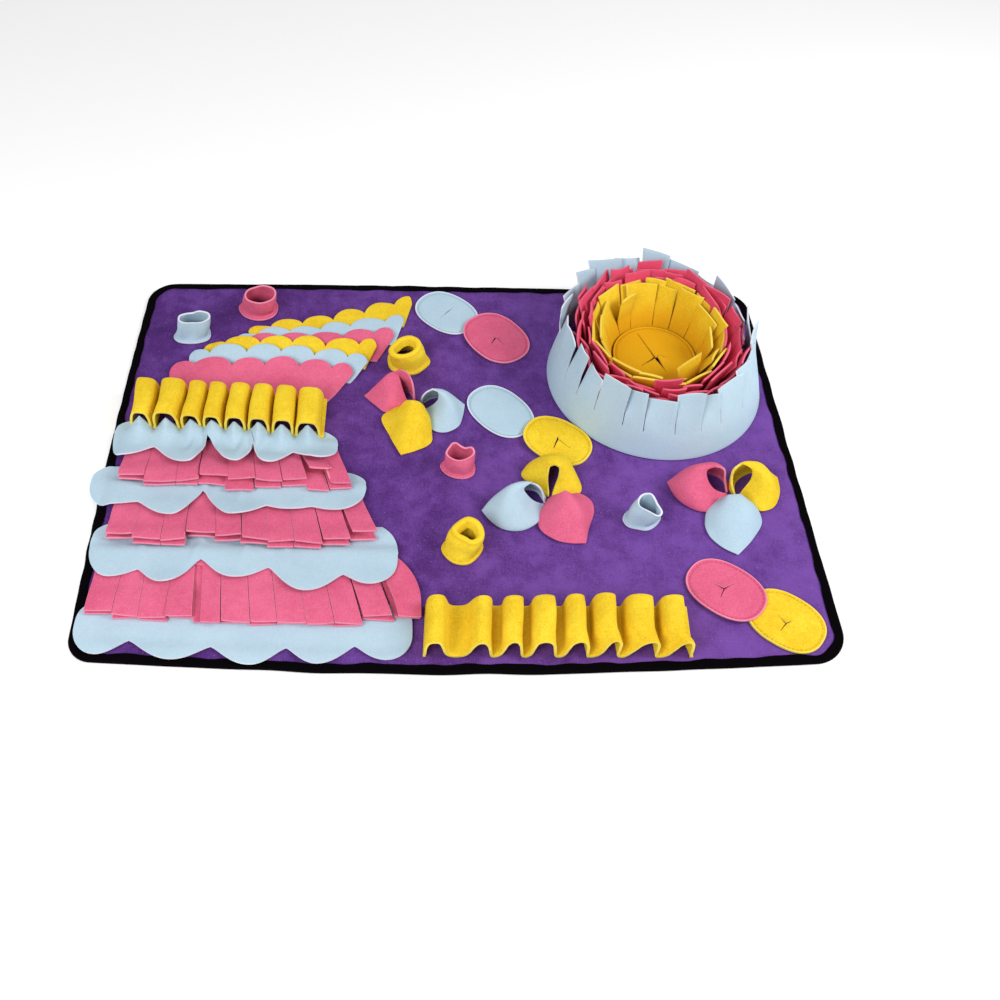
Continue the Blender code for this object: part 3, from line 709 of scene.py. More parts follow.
@dataclass
class BaseMat:
    """The purple panel and the tape folded round its edge."""

    left: float = -348.0
    right: float = 348.0
    front: float = -248.0
    back: float = 242.0
    front_bow: float = 11.0
    back_bow: float = 3.0
    left_bow: float = 3.0
    ragged: float = 0.45
    corner_radii: tuple = (24.0, 34.0, 28.0, 31.0)
    tape_width: float = 8.8
    tape_wander: float = 1.2
    tape_thick: float = 1.0
    tape_top: float = 3.8
    tape_ripple: float = 0.12
    swell: float = 0.2
    crease: float = -45.0
    seam_inset: float = 1.3
    seam_ramp: float = 1.6
    seam_clear: float = 0.3
    seam_low: float = 1.3
    seam_top: float = 2.5
    middle_inset: float = 236.0
    rings: int = 60

    def outline(self, inset: float, edge_steps: int = 90, corner_steps: int = 12) -> np.ndarray:
        """The mat's closed outline, drawn in by inset.

        Args:
            inset: How far inside the mat's own edge.
            edge_steps: Spans of each side.
            corner_steps: Spans of each rounded corner.

        Returns:
            The points, from the front left corner round by the right.
        """
        left, right = self.left + inset, self.right - inset
        front, back = self.front + inset, self.back - inset
        corners = (
            (left, front, 180, self.corner_radii[0]), (right, front, 270, self.corner_radii[1]),
            (right, back, 0, self.corner_radii[2]), (left, back, 90, self.corner_radii[3]))
        arcs = []
        for x, y, start, radius in corners:
            radius = max(radius - inset, 3.0)
            middle = np.array((x + math.copysign(radius, -x), y + math.copysign(radius, -y)))
            angles = np.radians(start + 90 * np.arange(corner_steps + 1) / corner_steps)
            arcs.append(middle + radius * np.stack([np.cos(angles), np.sin(angles)], axis=1))
        # After each corner comes a side, which bows one way.
        ways = (((0.0, -1.0), self.front_bow), ((1.0, 0.0), 0.0), ((0.0, 1.0), self.back_bow),
                ((-1.0, 0.0), self.left_bow))
        line = []
        for index, (corner, (way, bow)) in enumerate(zip(arcs, ways)):
            line.append(corner)
            share = np.arange(1, edge_steps)[:, None] / edge_steps
            side = corner[-1] + (arcs[(index + 1) % 4][0] - corner[-1]) * share
            sag = np.sin(math.pi * share)
            wave = Ripple(0.11, 13 + index)(share, share) * self.ragged
            line.append(side + np.array(way) * (bow * sag + wave * sag ** 0.5))
        return np.concatenate(line)

    def front_edge(self, x: np.ndarray) -> np.ndarray:
        """The bowed front edge's y at x."""
        share = ramp((x - self.left) / (self.right - self.left))
        return self.front - self.front_bow * np.sin(math.pi * share)

    def top_at(self, x: np.ndarray, y: np.ndarray) -> np.ndarray:
        """The felt's top surface, softly uneven, with one crease by the front edge.

        Args:
            x: Places along the mat.
            y: Places across the mat.

        Returns:
            The height there.
        """
        soft = Ripple(70.0, 3)(x, y) * 0.6 + Ripple(24.0, 5)(x, y) * 0.4
        bend = np.exp(-((x - self.crease) / 2.5) ** 2) * ease((-185 - y) / 30)
        return MAT_THICK - self.swell + self.swell * soft - 0.7 * bend

    def build_panel(self) -> None:
        """The purple felt, with a thinner seam allowance inside the tape."""
        step = self.tape_width + self.tape_wander + self.seam_clear
        inside = step + self.seam_ramp
        # Three rings beneath and two on the face, each set from the edge inward.
        seam = ((self.seam_inset, self.seam_low), (step, self.seam_low), (inside, 0.0),
                (self.seam_inset, self.seam_top), (step, self.seam_top))
        sections = []
        for inset, height in seam:
            plan = self.outline(inset)
            sections.append(np.column_stack([plan, np.full(len(plan), height)]))
        for inset in np.linspace(inside, self.middle_inset, self.rings):
            plan = self.outline(inset)
            sections.append(np.column_stack([plan, self.top_at(plan[:, 0], plan[:, 1])]))
        size = len(sections[0])
        faces = []
        for ring in range(len(sections) - 1):
            for index in range(size):
                after = (index + 1) % size
                low, high = ring * size, (ring + 1) * size
                faces.append((low + index, low + after, high + after, high + index))
        faces.append(tuple(reversed(range(size))))
        faces.append(tuple(range((len(sections) - 1) * size, len(sections) * size)))
        made = mesh_object("base_mat_felt", np.concatenate(sections), faces, [0] * len(faces), Felt.PURPLE)
        enrol(made, "base_mat")

    def build_tape(self) -> None:
        """The binding, folded over the edge and a little uneven along it."""
        half = self.tape_thick / 2
        top, low = self.tape_top - half, half
        wide = self.tape_width
        # From the inner edge on the mat's face round to the one under it: the inset and the height.
        profile = ((wide, top), (wide - 2.5, top), (3.0, top), (1.4, top - 0.15), (0.6, top - 0.9),
                   (0.6, low + 0.9), (1.4, low + 0.1), (3.0, low), (wide - 2.5, low), (wide, low))
        wander = Ripple(38.0, 11)
        lines = []
        for place, (inset, height) in enumerate(profile):
            plan = self.outline(inset)
            inner = ramp((inset - 2.0) / (wide - 2.0))
            shift = np.clip(wander(plan[:, 0], plan[:, 1]), -1.0, 1.0) * self.tape_wander
            outward = plan - self.outline(inset + 0.5)
            outward = outward / np.linalg.norm(outward, axis=1, keepdims=True)
            plan = plan - outward * (shift * inner)[:, None]
            if 2 * place < len(profile):
                lift = (Ripple(17.0, 12)(plan[:, 0], plan[:, 1]) - 1) * self.tape_ripple
            else:
                lift = np.zeros(len(plan))
            lines.append(np.column_stack([plan, height + lift]))
        points = np.stack(lines, axis=1)
        sheet = Sheet("edge_binding", Felt.TAPE, points, self.tape_thick, ring=True, bevel=0.25)
        made = sheet.build()
        made.name = "edge_binding_tape"
        declare(sheet, made)

    def build(self) -> None:
        """Both pieces."""
        self.build_panel()
        self.build_tape()


# The pile of laid strips ----------------

class Pile:
    """How high the felt laid so far reaches, by the millimetre, for the next sheet to drape over."""

    AROUND, AHEAD = 20, 30
    BINDING = 11
    FINEST = 0.7

    def __init__(self, mat: BaseMat, clear: float = 1.0) -> None:
        """Starts with the mat and its binding.

        Args:
            mat: The mat that the felt is laid on.
            clear: How far above its binding felt passes.
        """
        self.corner = np.array((int(mat.left) - self.AROUND, int(mat.front) - self.AHEAD))
        size = (int(mat.right - mat.left) + 2 * self.AROUND,
                int(mat.back - mat.front) + self.AROUND + self.AHEAD)
        places = (np.arange(count) + start for count, start in zip(size, self.corner))
        x, y = np.meshgrid(*places, indexing="ij")
        inside = ((x > mat.left + self.BINDING) & (x < mat.right - self.BINDING)
                  & (y > mat.front_edge(x) + self.BINDING) & (y < mat.back - self.BINDING))
        self.tops = np.where(inside, MAT_THICK, mat.tape_top + clear)

    def add(self, points: np.ndarray, rise: float) -> None:
        """Adds a sheet.

        Args:
            points: Its middle surface.
            rise: How far its top is above that.
        """
        fine = points
        for axis in (0, 1):
            spans = np.linalg.norm(np.diff(fine, axis=axis), axis=-1)
            parts = int(spans.max() / self.FINEST) + 1
            share = np.arange(parts) / parts
            low = np.take(fine, range(fine.shape[axis] - 1), axis)
            high = np.take(fine, range(1, fine.shape[axis]), axis)
            steps = [low + (high - low) * part for part in share]
            fine = np.concatenate(steps + [np.take(fine, [-1], axis)], axis)
        cells = np.round(fine[..., :2]).astype(int) - self.corner
        cells = np.clip(cells, 0, np.array(self.tops.shape) - 1)
        np.maximum.at(self.tops, (cells[..., 0], cells[..., 1]), fine[..., 2] + rise)

    def rest(self, reach: int) -> Callable[[np.ndarray, np.ndarray], np.ndarray]:
        """A smooth surface that clears everything, as a stiff felt would lie on it.

        Args:
            reach: How far ahead of an edge the felt starts to bend, in millimetres.

        Returns:
            The surface's height at x and y.
        """
        tops = self.tops
        for axis in (0, 1):
            tops = np.maximum.reduce([np.roll(tops, shift, axis) for shift in range(-reach, reach + 1)])
        half = reach // 2
        for axis in (0, 1, 0, 1):
            tops = sum(np.roll(tops, shift, axis) for shift in range(-half, half + 1)) / (2 * half + 1)
        corner = self.corner

        def height(x: np.ndarray, y: np.ndarray) -> np.ndarray:
            """The surface at (x, y), read between the millimetres.

            Args:
                x: Places along the mat.
                y: Places across the mat.

            Returns:
                The height there.
            """
            column = np.clip(np.asarray(x) - corner[0], 0, tops.shape[0] - 2)
            row = np.clip(np.asarray(y) - corner[1], 0, tops.shape[1] - 2)
            i, j = column.astype(int), row.astype(int)
            u, v = column - i, row - j
            return ((1 - u) * ((1 - v) * tops[i, j] + v * tops[i, j + 1])
                    + u * ((1 - v) * tops[i + 1, j] + v * tops[i + 1, j + 1]))

        return height


def fan_out(start: np.ndarray, edge: np.ndarray, rows: int) -> np.ndarray:
    """Plan points from each point of a sewn edge to its point of the free edge, by column and row."""
    share = np.linspace(0, 1, rows)[None, :, None]
    return start[:, None] + (edge - start)[:, None] * share


def sewn_edge(left: Plan, right: Plan, count: int) -> np.ndarray:
    """Evenly spread points from left to right."""
    return np.array(left) + (np.array(right) - np.array(left)) * np.linspace(0, 1, count)[:, None]


class Strip(NamedTuple):
    """A skirt strip: the two ends of its sewn upper edge."""

    name: str
    left: Plan
    right: Plan


class Tab(NamedTuple):
    """A fringe tab at its free end: its sides, end line, lift and twist."""

    left: float
    right: float
    end: float
    lift: float
    twist: float


def flat_tabs(sides: Sequence[float], ends: Sequence[float]) -> list[Tab]:
    """Flat tabs side by side, from the lines between them and their ends."""
    return [Tab(left, right, end, 0, 0) for left, right, end in zip(sides, sides[1:], ends)]


@dataclass
class Skirt:
    """Light-blue waved strips and pink fringes, laid from the front of the mat to the back.

    Each wave has the stops of its edge, which are its left end, then lobe, notch, lobe and so on, and its
    right end, with how far each lobe lifts and where folds run forward, as their x and their height.
    """

    pile: Pile
    order: tuple = (
        Strip("wave_4", (-338, -194), (-50, -190)),
        Strip("fringe_3_under", (-335, -138), (-62, -138)), Strip("fringe_3_top", (-335, -138), (-62, -138)),
        Strip("wave_3", (-330, -102), (-74, -104)),
        Strip("fringe_2_under", (-332, -61), (-98, -61)), Strip("fringe_2_top", (-332, -61), (-98, -61)),
        Strip("wave_2", (-346, -34), (-108, -38)),
        Strip("fringe_1_under", (-332, 5), (-122, -7)), Strip("fringe_1_top", (-332, 5), (-122, -7)),
        Strip("wave_1", (-332, 27), (-136, 16)),
    )
    waves: dict = field(default_factory=lambda: {
        "wave_1": ((-348, 9), (-335, -27), (-304, -13), (-265, -39), (-252, 0), (-220, -38), (-205, -5),
                   (-188, -38), (-165, -19), (-138, -30), (-121, -13)),
        "wave_2": ((-360, -57), (-336, -85), (-309, -81), (-274, -99), (-249, -67), (-215, -99), (-186, -85),
                   (-162, -90), (-141, -86), (-116, -90), (-91, -61)),
        "wave_3": ((-346, -126), (-322, -166), (-297, -157), (-272, -172), (-241, -145), (-207, -166),
                   (-178, -154), (-142, -181), (-109, -162), (-83, -173), (-59, -146)),
        "wave_4": ((-344, -216), (-321, -242), (-294, -228), (-255, -247), (-222, -234), (-187, -252),
                   (-156, -235), (-128, -251), (-96, -233), (-68, -247), (-45, -222)),
    })
    lifts: dict = field(default_factory=lambda: {
        "wave_1": (1.5, 3.0, 3.5, 2.5, 1.0), "wave_2": (1.0, 2.5, 3.0, 1.5, 2.0),
        "wave_3": (0.5, 2.0, 2.5, 2.0, 1.5), "wave_4": (0.0, 0.5, 0.5, 0.5, 0.5),
    })
    fringes: dict = field(default_factory=lambda: {
        "fringe_1_top": (
            Tab(-332, -306, -53, 1.5, 0.5), Tab(-306, -275, -60, 1.0, -0.5), Tab(-275, -253, -59, 1.0, 0.5),
            Tab(-252, -225, -54, 2.5, -0.8), Tab(-225, -198, -57, 2.0, 0.6), Tab(-198, -172, -58, 1.5, -0.5),
            Tab(-172, -148, -57, 2.0, 0.8), Tab(-147, -125, -43, 4.0, -0.6), Tab(-125, -105, -60, 1.0, 0.6)),
        "fringe_1_under": flat_tabs(
            (-332, -307, -276, -254, -227, -199, -173, -148, -126, -104),
            (-55, -61, -61, -61, -68, -63, -61, -67, -64)),
        "fringe_2_top": (
            Tab(-332, -306, -121, 1.0, 0.4), Tab(-306, -280, -127, 1.5, -0.5),
            Tab(-280, -257, -128, 1.0, 0.5), Tab(-257, -230, -119, 2.0, -0.6),
            Tab(-230, -205, -122, 1.0, 0.5), Tab(-204, -180, -127, 1.8, -0.7),
            Tab(-180, -155, -129, 1.2, 0.5), Tab(-155, -129, -130, 1.5, -0.6),
            Tab(-129, -103, -125, 1.0, 0.5), Tab(-102, -78, -117, 4.0, 1.2)),
        "fringe_2_under": flat_tabs(
            (-332, -306, -280, -257, -231, -206, -181, -156, -130, -104, -79),
            (-123, -130, -131, -120, -125, -129, -133, -133, -129, -122)),
        "fringe_3_top": (
            Tab(-337, -312, -202, 0.8, 0.4), Tab(-312, -289, -206, 0.8, -0.4),
            Tab(-289, -264, -208, 1.0, 0.4), Tab(-264, -241, -207, 2.0, -0.8),
            Tab(-233, -215, -213, 1.5, 0.6), Tab(-215, -189, -212, 0.8, -0.4),
            Tab(-189, -165, -212, 1.0, 0.5), Tab(-165, -139, -213, 0.8, -0.4),
            Tab(-139, -114, -214, 1.2, 0.5), Tab(-114, -89, -214, 1.0, -0.5),
            Tab(-89, -63, -206, 1.5, 0.5), Tab(-58, -37, -207, 2.5, -0.9)),
        "fringe_3_under": flat_tabs(
            (-337, -312, -288, -263, -240, -216, -190, -166, -140, -115, -90, -61, -38),
            (-203, -207, -209, -206, -211, -211, -213, -212, -213, -214, -208, -205)),
    })
    peaks: tuple = (-322, -295.5, -270, -248.5, -226, -202, -178, -152)
    peak_front: tuple = ((-334, 18), (-138, 7))
    peak_rise: float = 18.5
    peak_wide: float = 13.5
    peak_run: float = 30.0
    folds: dict = field(default_factory=lambda: {
        "wave_1": ((-260, 3.0), (-243, 3.0), (-212, 3.2), (-198, 3.4), (-287, 1.6), (-152, 1.6)),
        "wave_2": ((-250, 3.2), (-264, 1.4), (-207, 1.6), (-152, 1.2)),
        "wave_3": ((-242, 2.0), (-197, 1.8), (-166, 1.5), (-300, 1.2)), "wave_4": (),
    })
    fold_wide: float = 3.8
    fold_run: float = 58.0
    fold_lean: float = 0.12
    wave_rows: int = 34
    wave_steps: int = 11
    lobe_full: float = 0.66
    steep_full: float = 0.42
    lobe_wide: float = 30.0
    ear: float = 3.0
    ear_columns: int = 14
    bend: int = 8
    tab_slit: float = 0.45
    tab_columns: int = 7
    tab_rows: int = 26
    backing: int = 4

    def wave_edge(self, stops: Sequence[Plan]) -> np.ndarray:
        """The waved edge: broad lobes, narrower soft notches and rounded ends.

        Args:
            stops: The left end, then lobe, notch, lobe and so on, and the right end.

        Returns:
            The points of the edge.
        """
        edge = [np.array(stops[0], float)]
        last = len(stops) - 2
        for index in range(len(stops) - 1):
            start, end = np.array(stops[index], float), np.array(stops[index + 1], float)
            for step in range(1, self.wave_steps + 1):
                share = step / self.wave_steps
                if index in (0, last):
                    turn = share * math.pi / 2
                    across, along = (1 - math.cos(turn), math.sin(turn)) if index == 0 else (
                        math.sin(turn), 1 - math.cos(turn))
                else:
                    # The curve is fuller at a lobe than in a notch, most so where it is steep.
                    steep = abs(end[1] - start[1]) > 1.5 * abs(end[0] - start[0])
                    full = self.steep_full if steep else self.lobe_full
                    bent = share ** full if index % 2 == 0 else 1 - (1 - share) ** full
                    across, along = share, (1 - math.cos(math.pi * bent)) / 2
                edge.append(np.array((mix(start[0], end[0], across), mix(start[1], end[1], along))))
        return np.array(edge)

    def build_wave(self, strip: Strip) -> None:
        """One light-blue strip.

        Args:
            strip: Which strip, and its sewn edge.
        """
        stops = self.waves[strip.name]
        edge = self.wave_edge(stops)
        start = sewn_edge(strip.left, strip.right, len(edge))
        plan = fan_out(start, edge, self.wave_rows)
        share = np.linspace(0, 1, self.wave_rows)[None, :]
        # Both ends are cut round like ears, so their columns reach sideways first and then forward.
        place = np.arange(len(edge))[:, None]
        near = ease(1 - np.minimum(place, len(edge) - 1 - place) / self.ear_columns)
        plan[..., 0] = start[:, :1] + (edge[:, :1] - start[:, :1]) * self.eared(share, near)
        x, y = plan[..., 0], plan[..., 1]
        lift = np.zeros(len(edge))
        for (tip_x, _), amount in zip(stops[1::2], self.lifts[strip.name]):
            lift = np.maximum(lift, amount * ease(1 - abs(edge[:, 0] - tip_x) / self.lobe_wide))
        thick = THICKNESS[Felt.BLUE]
        height = self.pile.rest(self.bend)(x, y) + GAP + thick / 2
        height = height + lift[:, None] * ease((share - 0.35) / 0.65)
        seed = int(strip.name[-1])
        swell = (Ripple(46.0, 20 + seed)(x, y) + 1.4) * 0.35 * ease(share * 2)
        if strip.name == "wave_1":
            height = height + self.puckers(x, y)
        height = height + self.creases(strip.name, x, plan[:, :1, 1] - y)
        points = np.dstack([x, y, height + swell])
        self.pile.add(points, thick / 2)
        sheet = Sheet(strip.name, Felt.BLUE, points, thick)
        declare(sheet, sheet.build())

    def eared(self, share: np.ndarray, near: np.ndarray) -> np.ndarray:
        """How far sideways a column has come at its share, rounder the nearer it is to an end."""
        return 1 - (1 - share) ** (1 + self.ear * near)

    def puckers(self, x: np.ndarray, y: np.ndarray) -> np.ndarray:
        """Peaks inside the upper loops, which run out forward.

        Args:
            x: Places along the mat.
            y: Places across the mat.

        Returns:
            How much the strip rises there.
        """
        (left, left_y), (right, right_y) = self.peak_front
        ahead = left_y + (right_y - left_y) * (x - left) / (right - left) - y
        run = ease((ahead + 9) / 9) * (1 - ramp(ahead / self.peak_run)) ** 1.5
        wide = self.peak_wide + np.maximum(ahead, 0) * 0.1
        rise = np.zeros_like(x)
        for middle in self.peaks:
            rise += self.peak_rise * np.maximum(1 - abs(x - middle) / wide, 0) ** 1.15 * run
        return rise

    def creases(self, name: str, x: np.ndarray, ahead: np.ndarray) -> np.ndarray:
        """The soft folds that run forward from a wave's sewn edge, each leaning to one side.

        Args:
            name: The wave.
            x: Places along the mat.
            ahead: How far forward of the sewn edge they are.

        Returns:
            How much the strip rises there.
        """
        rise = np.zeros_like(x)
        run = ease(ahead / 14) * ease((self.fold_run - ahead) / 24)
        for middle, amount in self.folds[name]:
            off = (x - middle) + ahead * self.fold_lean * math.copysign(1, middle % 7 - 3)
            rise += amount * np.exp(-(off / self.fold_wide) ** 2) * run
        return rise

    def build_fringe(self, strip: Strip) -> None:
        """One ply of a pink fringe: tabs on a narrow backing strip.

        Args:
            strip: Which ply, and its sewn edge.
        """
        tabs = self.fringes[strip.name]
        first, last = tabs[0].left, tabs[-1].right
        draw = np.random.RandomState(sum(map(ord, strip.name)))
        columns, lifts = [], []
        for tab in tabs:
            skew = draw.uniform(-0.9, 0.9)
            for across in np.linspace(0, 1, self.tab_columns):
                x = mix(tab.left + self.tab_slit / 2, tab.right - self.tab_slit / 2, across)
                share = (x - first) / (last - first)
                start = [mix(a, b, share) for a, b in zip(strip.left, strip.right)]
                end = (x, tab.end + skew * (across - 0.5) * 2)
                columns.append(np.array([start, end]))
                side = 2 * across - 1
                lifts.append(tab.lift + tab.twist * side * 1.6 + 0.5 * side * side * (tab.lift > 0))
        ends = np.array(columns)
        plan = fan_out(ends[:, 0], ends[:, 1], self.tab_rows)
        share = np.linspace(0, 1, self.tab_rows)[None, :]
        if strip.name == "fringe_3_top":
            # The last tab is cut round at its outer side.
            near = np.zeros((len(ends), 1))
            near[-self.tab_columns:, 0] = np.linspace(0.1, 0.8, self.tab_columns)
            plan[..., 0] = ends[:, 0, :1] + (ends[:, 1, :1] - ends[:, 0, :1]) * self.eared(share, near)
        x, y = plan[..., 0], plan[..., 1]
        thick = THICKNESS[Felt.PINK]
        height = self.pile.rest(self.bend)(x, y) + GAP + thick / 2
        height = height + np.maximum(np.array(lifts), 0)[:, None] * ease((share - 0.3) / 0.7)
        swell = (Ripple(26.0, 40 + len(tabs))(x, y) + 1.4) * 0.22 * ease(share * 2) * (max(lifts) > 0)
        points = np.dstack([x, y, height + swell])
        self.pile.add(points, thick / 2)
        keep = np.ones((len(points) - 1, self.tab_rows - 1), bool)
        keep[self.tab_columns - 1::self.tab_columns, self.backing:] = False
        sheet = Sheet(strip.name, Felt.PINK, points, thick, keep=keep)
        declare(sheet, sheet.build())

    def build(self) -> None:
        """All the strips, from the lowest layer up."""
        for strip in self.order:
            if strip.name in self.fringes:
                self.build_fringe(strip)
            else:
                self.build_wave(strip)


class FanRow(NamedTuple):
    """A fan row: its sewn edge, and its scalloped edge from left to right."""

    name: str
    felt: Felt
    left: Plan
    right: Plan
    edge: tuple


@dataclass
class Fan:
    """Six scalloped strips, each laid over the sewn edge of the row behind it."""

    pile: Pile
    rows: tuple = (
        FanRow("fan_row_1", Felt.PINK, (-301, 50), (-147, 42), (
            (-306, 97), (-297, 111), (-280, 105), (-259, 111), (-239, 101), (-220, 110), (-204, 102),
            (-185, 112), (-167, 101), (-149, 110), (-132, 99), (-120, 106), (-109, 94))),
        FanRow("fan_row_2", Felt.BLUE, (-285, 96), (-112, 86), (
            (-288, 119), (-281, 129), (-265, 121), (-246, 131), (-225, 120), (-206, 131), (-188, 121),
            (-170, 130), (-152, 118), (-134, 127), (-116, 117), (-106, 122), (-94, 111))),
        FanRow("fan_row_3", Felt.YELLOW, (-271, 112), (-97, 106), (
            (-274, 129), (-266, 140), (-250, 136), (-230, 145), (-212, 135), (-192, 146), (-177, 137),
            (-160, 147), (-141, 133), (-121, 145), (-104, 136), (-92, 145), (-85, 135))),
        FanRow("fan_row_4", Felt.PINK, (-249, 127), (-84, 119), (
            (-254, 141), (-243, 146), (-224, 145), (-209, 153), (-192, 147), (-175, 155), (-158, 149),
            (-141, 157), (-122, 150), (-104, 162), (-87, 157), (-76, 165), (-66, 154))),
        FanRow("fan_row_5", Felt.BLUE, (-236, 138), (-66, 145), (
            (-241, 148), (-231, 155), (-217, 154), (-199, 166), (-182, 160), (-164, 168), (-148, 164),
            (-131, 176), (-115, 169), (-95, 183), (-76, 177), (-62, 189), (-55, 179))),
        FanRow("fan_row_6", Felt.YELLOW, (-224, 149), (-55, 174), (
            (-228, 161), (-218, 170), (-204, 169), (-186, 182), (-169, 175), (-149, 188), (-135, 181),
            (-115, 200), (-100, 193), (-81, 211), (-66, 208), (-50, 222), (-46, 210))),
    )
    cusp: float = 0.75
    steps: int = 8
    depth_rows: int = 16
    bend: int = 8

    def scallops(self, stops: Sequence[Plan]) -> np.ndarray:
        """Round lobes that meet in sharp notches.

        Args:
            stops: The left end, then lobe, notch, lobe and so on, and the right end.

        Returns:
            The points of the edge.
        """
        edge = [np.array(stops[0], float)]
        for index in range(len(stops) - 1):
            start, end = np.array(stops[index], float), np.array(stops[index + 1], float)
            fullness = 1.0 if index in (0, len(stops) - 2) else self.cusp
            for step in range(1, self.steps + 1):
                share = step / self.steps
                turn = share * math.pi / 2
                across, along = (1 - math.cos(turn), math.sin(turn)) if index % 2 == 0 else (
                    math.sin(turn), 1 - math.cos(turn))
                across = mix(share, across, fullness)
                edge.append(np.array((mix(start[0], end[0], across), mix(start[1], end[1], along))))
        return np.array(edge)

    def build(self) -> None:
        """All the rows, from the back one, which lies lowest, to the front."""
        for number, row in reversed(list(enumerate(self.rows))):
            edge = self.scallops(row.edge)
            plan = fan_out(sewn_edge(row.left, row.right, len(edge)), edge, self.depth_rows)
            x, y = plan[..., 0], plan[..., 1]
            thick = THICKNESS[row.felt]
            share = np.linspace(0, 1, self.depth_rows)[None, :]
            swell = (Ripple(30.0, 60 + number)(x, y) + 1.4) * 0.3 * ease(share)
            points = np.dstack([x, y, self.pile.rest(self.bend)(x, y) + GAP + thick / 2 + swell])
            self.pile.add(points, thick / 2)
            sheet = Sheet(row.name, row.felt, points, thick)
            declare(sheet, sheet.build())


# Loops ----------------

# A loop's plain shape, as shares of its width and its height.
ARCH = ((0.0, 0.0), (0.025, 0.22), (0.05, 0.62), (0.19, 0.93), (0.5, 1.0), (0.81, 0.93), (0.95, 0.62),
        (0.975, 0.22), (1.0, 0.0))


class Loop(NamedTuple):
    """One loop: its start and end, its height, its crown's lean, and its front shape in shares of both.

    Where back is given, the loop is round behind its flared front edge: between which shares of its
    width it stands there, and how high.
    """

    start: float
    end: float
    height: float
    lean: float = 0.0
    shape: tuple = ARCH
    back: tuple = ()

    def behind(self) -> tuple:
        """The loop's shape behind its front edge.

        Returns:
            Its points, in shares of its width and height.
        """
        if not self.back:
            return self.shape
        left, right, tall = self.back
        wide = right - left
        arch = ((0, 0.28), (0.03, 0.62), (0.14, 0.9), (0.5, 1), (0.86, 0.9), (0.97, 0.62), (1, 0.22))
        shape = tuple((left + across * wide, rise * tall) for across, rise in arch)
        return ((0.0, 0.0), (left * 0.7, 0.03), *shape, (1.0, 0.0))


@dataclass
class LoopStrip:
    """A yellow strip sewn down in valleys so that it stands in loops.

    It is depth deep from the front ends given, its back is shifted sideways, and its foot is the width
    of a valley's side. A flange is what runs on flat past its last loop, flare spreads its edges, and lip
    is the share of its depth in which a loop changes from its front shape to the one behind.
    """

    name: str
    front_left: Plan
    front_right: Plan
    depth: float
    base: float
    shift: float
    flange: float
    loops: tuple
    seed: int
    foot: float = 1.7
    flare: float = 0.8
    lip: float = 0.35
    rows: int = 20
    steps: int = 6

    def outline(self, behind: bool) -> np.ndarray:
        """The strip's middle line, as x and height above its foot.

        Args:
            behind: Whether it is the line behind the front edge.

        Returns:
            Its points.
        """
        line = [(self.loops[0].start, 0.0)] if self.flange else []
        for loop in self.loops:
            left, right = loop.start + self.foot, loop.end - self.foot
            for across, rise in loop.behind() if behind else loop.shape:
                line.append((mix(left, right, across) + loop.lean * rise, loop.height * rise))
        if self.flange:
            line.append((self.loops[-1].end + self.flange, 0.0))
        return np.array(line)

    def build(self) -> None:
        """The whole strip."""
        front, behind = (spline(self.outline(place), self.steps) for place in (False, True))
        deep = np.linspace(0, 1, self.rows)[None, :]
        share = ease(deep / self.lip)
        x = front[:, :1] * (1 - share) + behind[:, :1] * share
        rise = np.maximum(front[:, 1:2] * (1 - share) + behind[:, 1:2] * share, 0)
        wide = self.front_right[0] - self.front_left[0]
        slope = (self.front_right[1] - self.front_left[1]) / wide
        y = self.front_left[1] + slope * (x - self.front_left[0])
        tall = rise / max(loop.height for loop in self.loops)
        wander = Ripple(60.0, self.seed)(x * 0.6, deep * self.depth)
        across = x + self.shift * deep + wander * tall * 1.3
        droop = 1 - 0.06 * ease(1 - deep / 0.25) - 0.03 * ease((deep - 0.8) / 0.2)
        up = rise * (droop + 0.02 * Ripple(30.0, self.seed + 1)(x, deep * self.depth))
        along = y + self.depth * deep + tall * (1 - 2 * deep) * self.flare
        thick = THICKNESS[Felt.YELLOW]
        points = np.dstack([across, along, self.base + thick / 2 + up])
        sheet = Sheet(self.name, Felt.YELLOW, points, thick, bevel=0.5)
        declare(sheet, sheet.build())


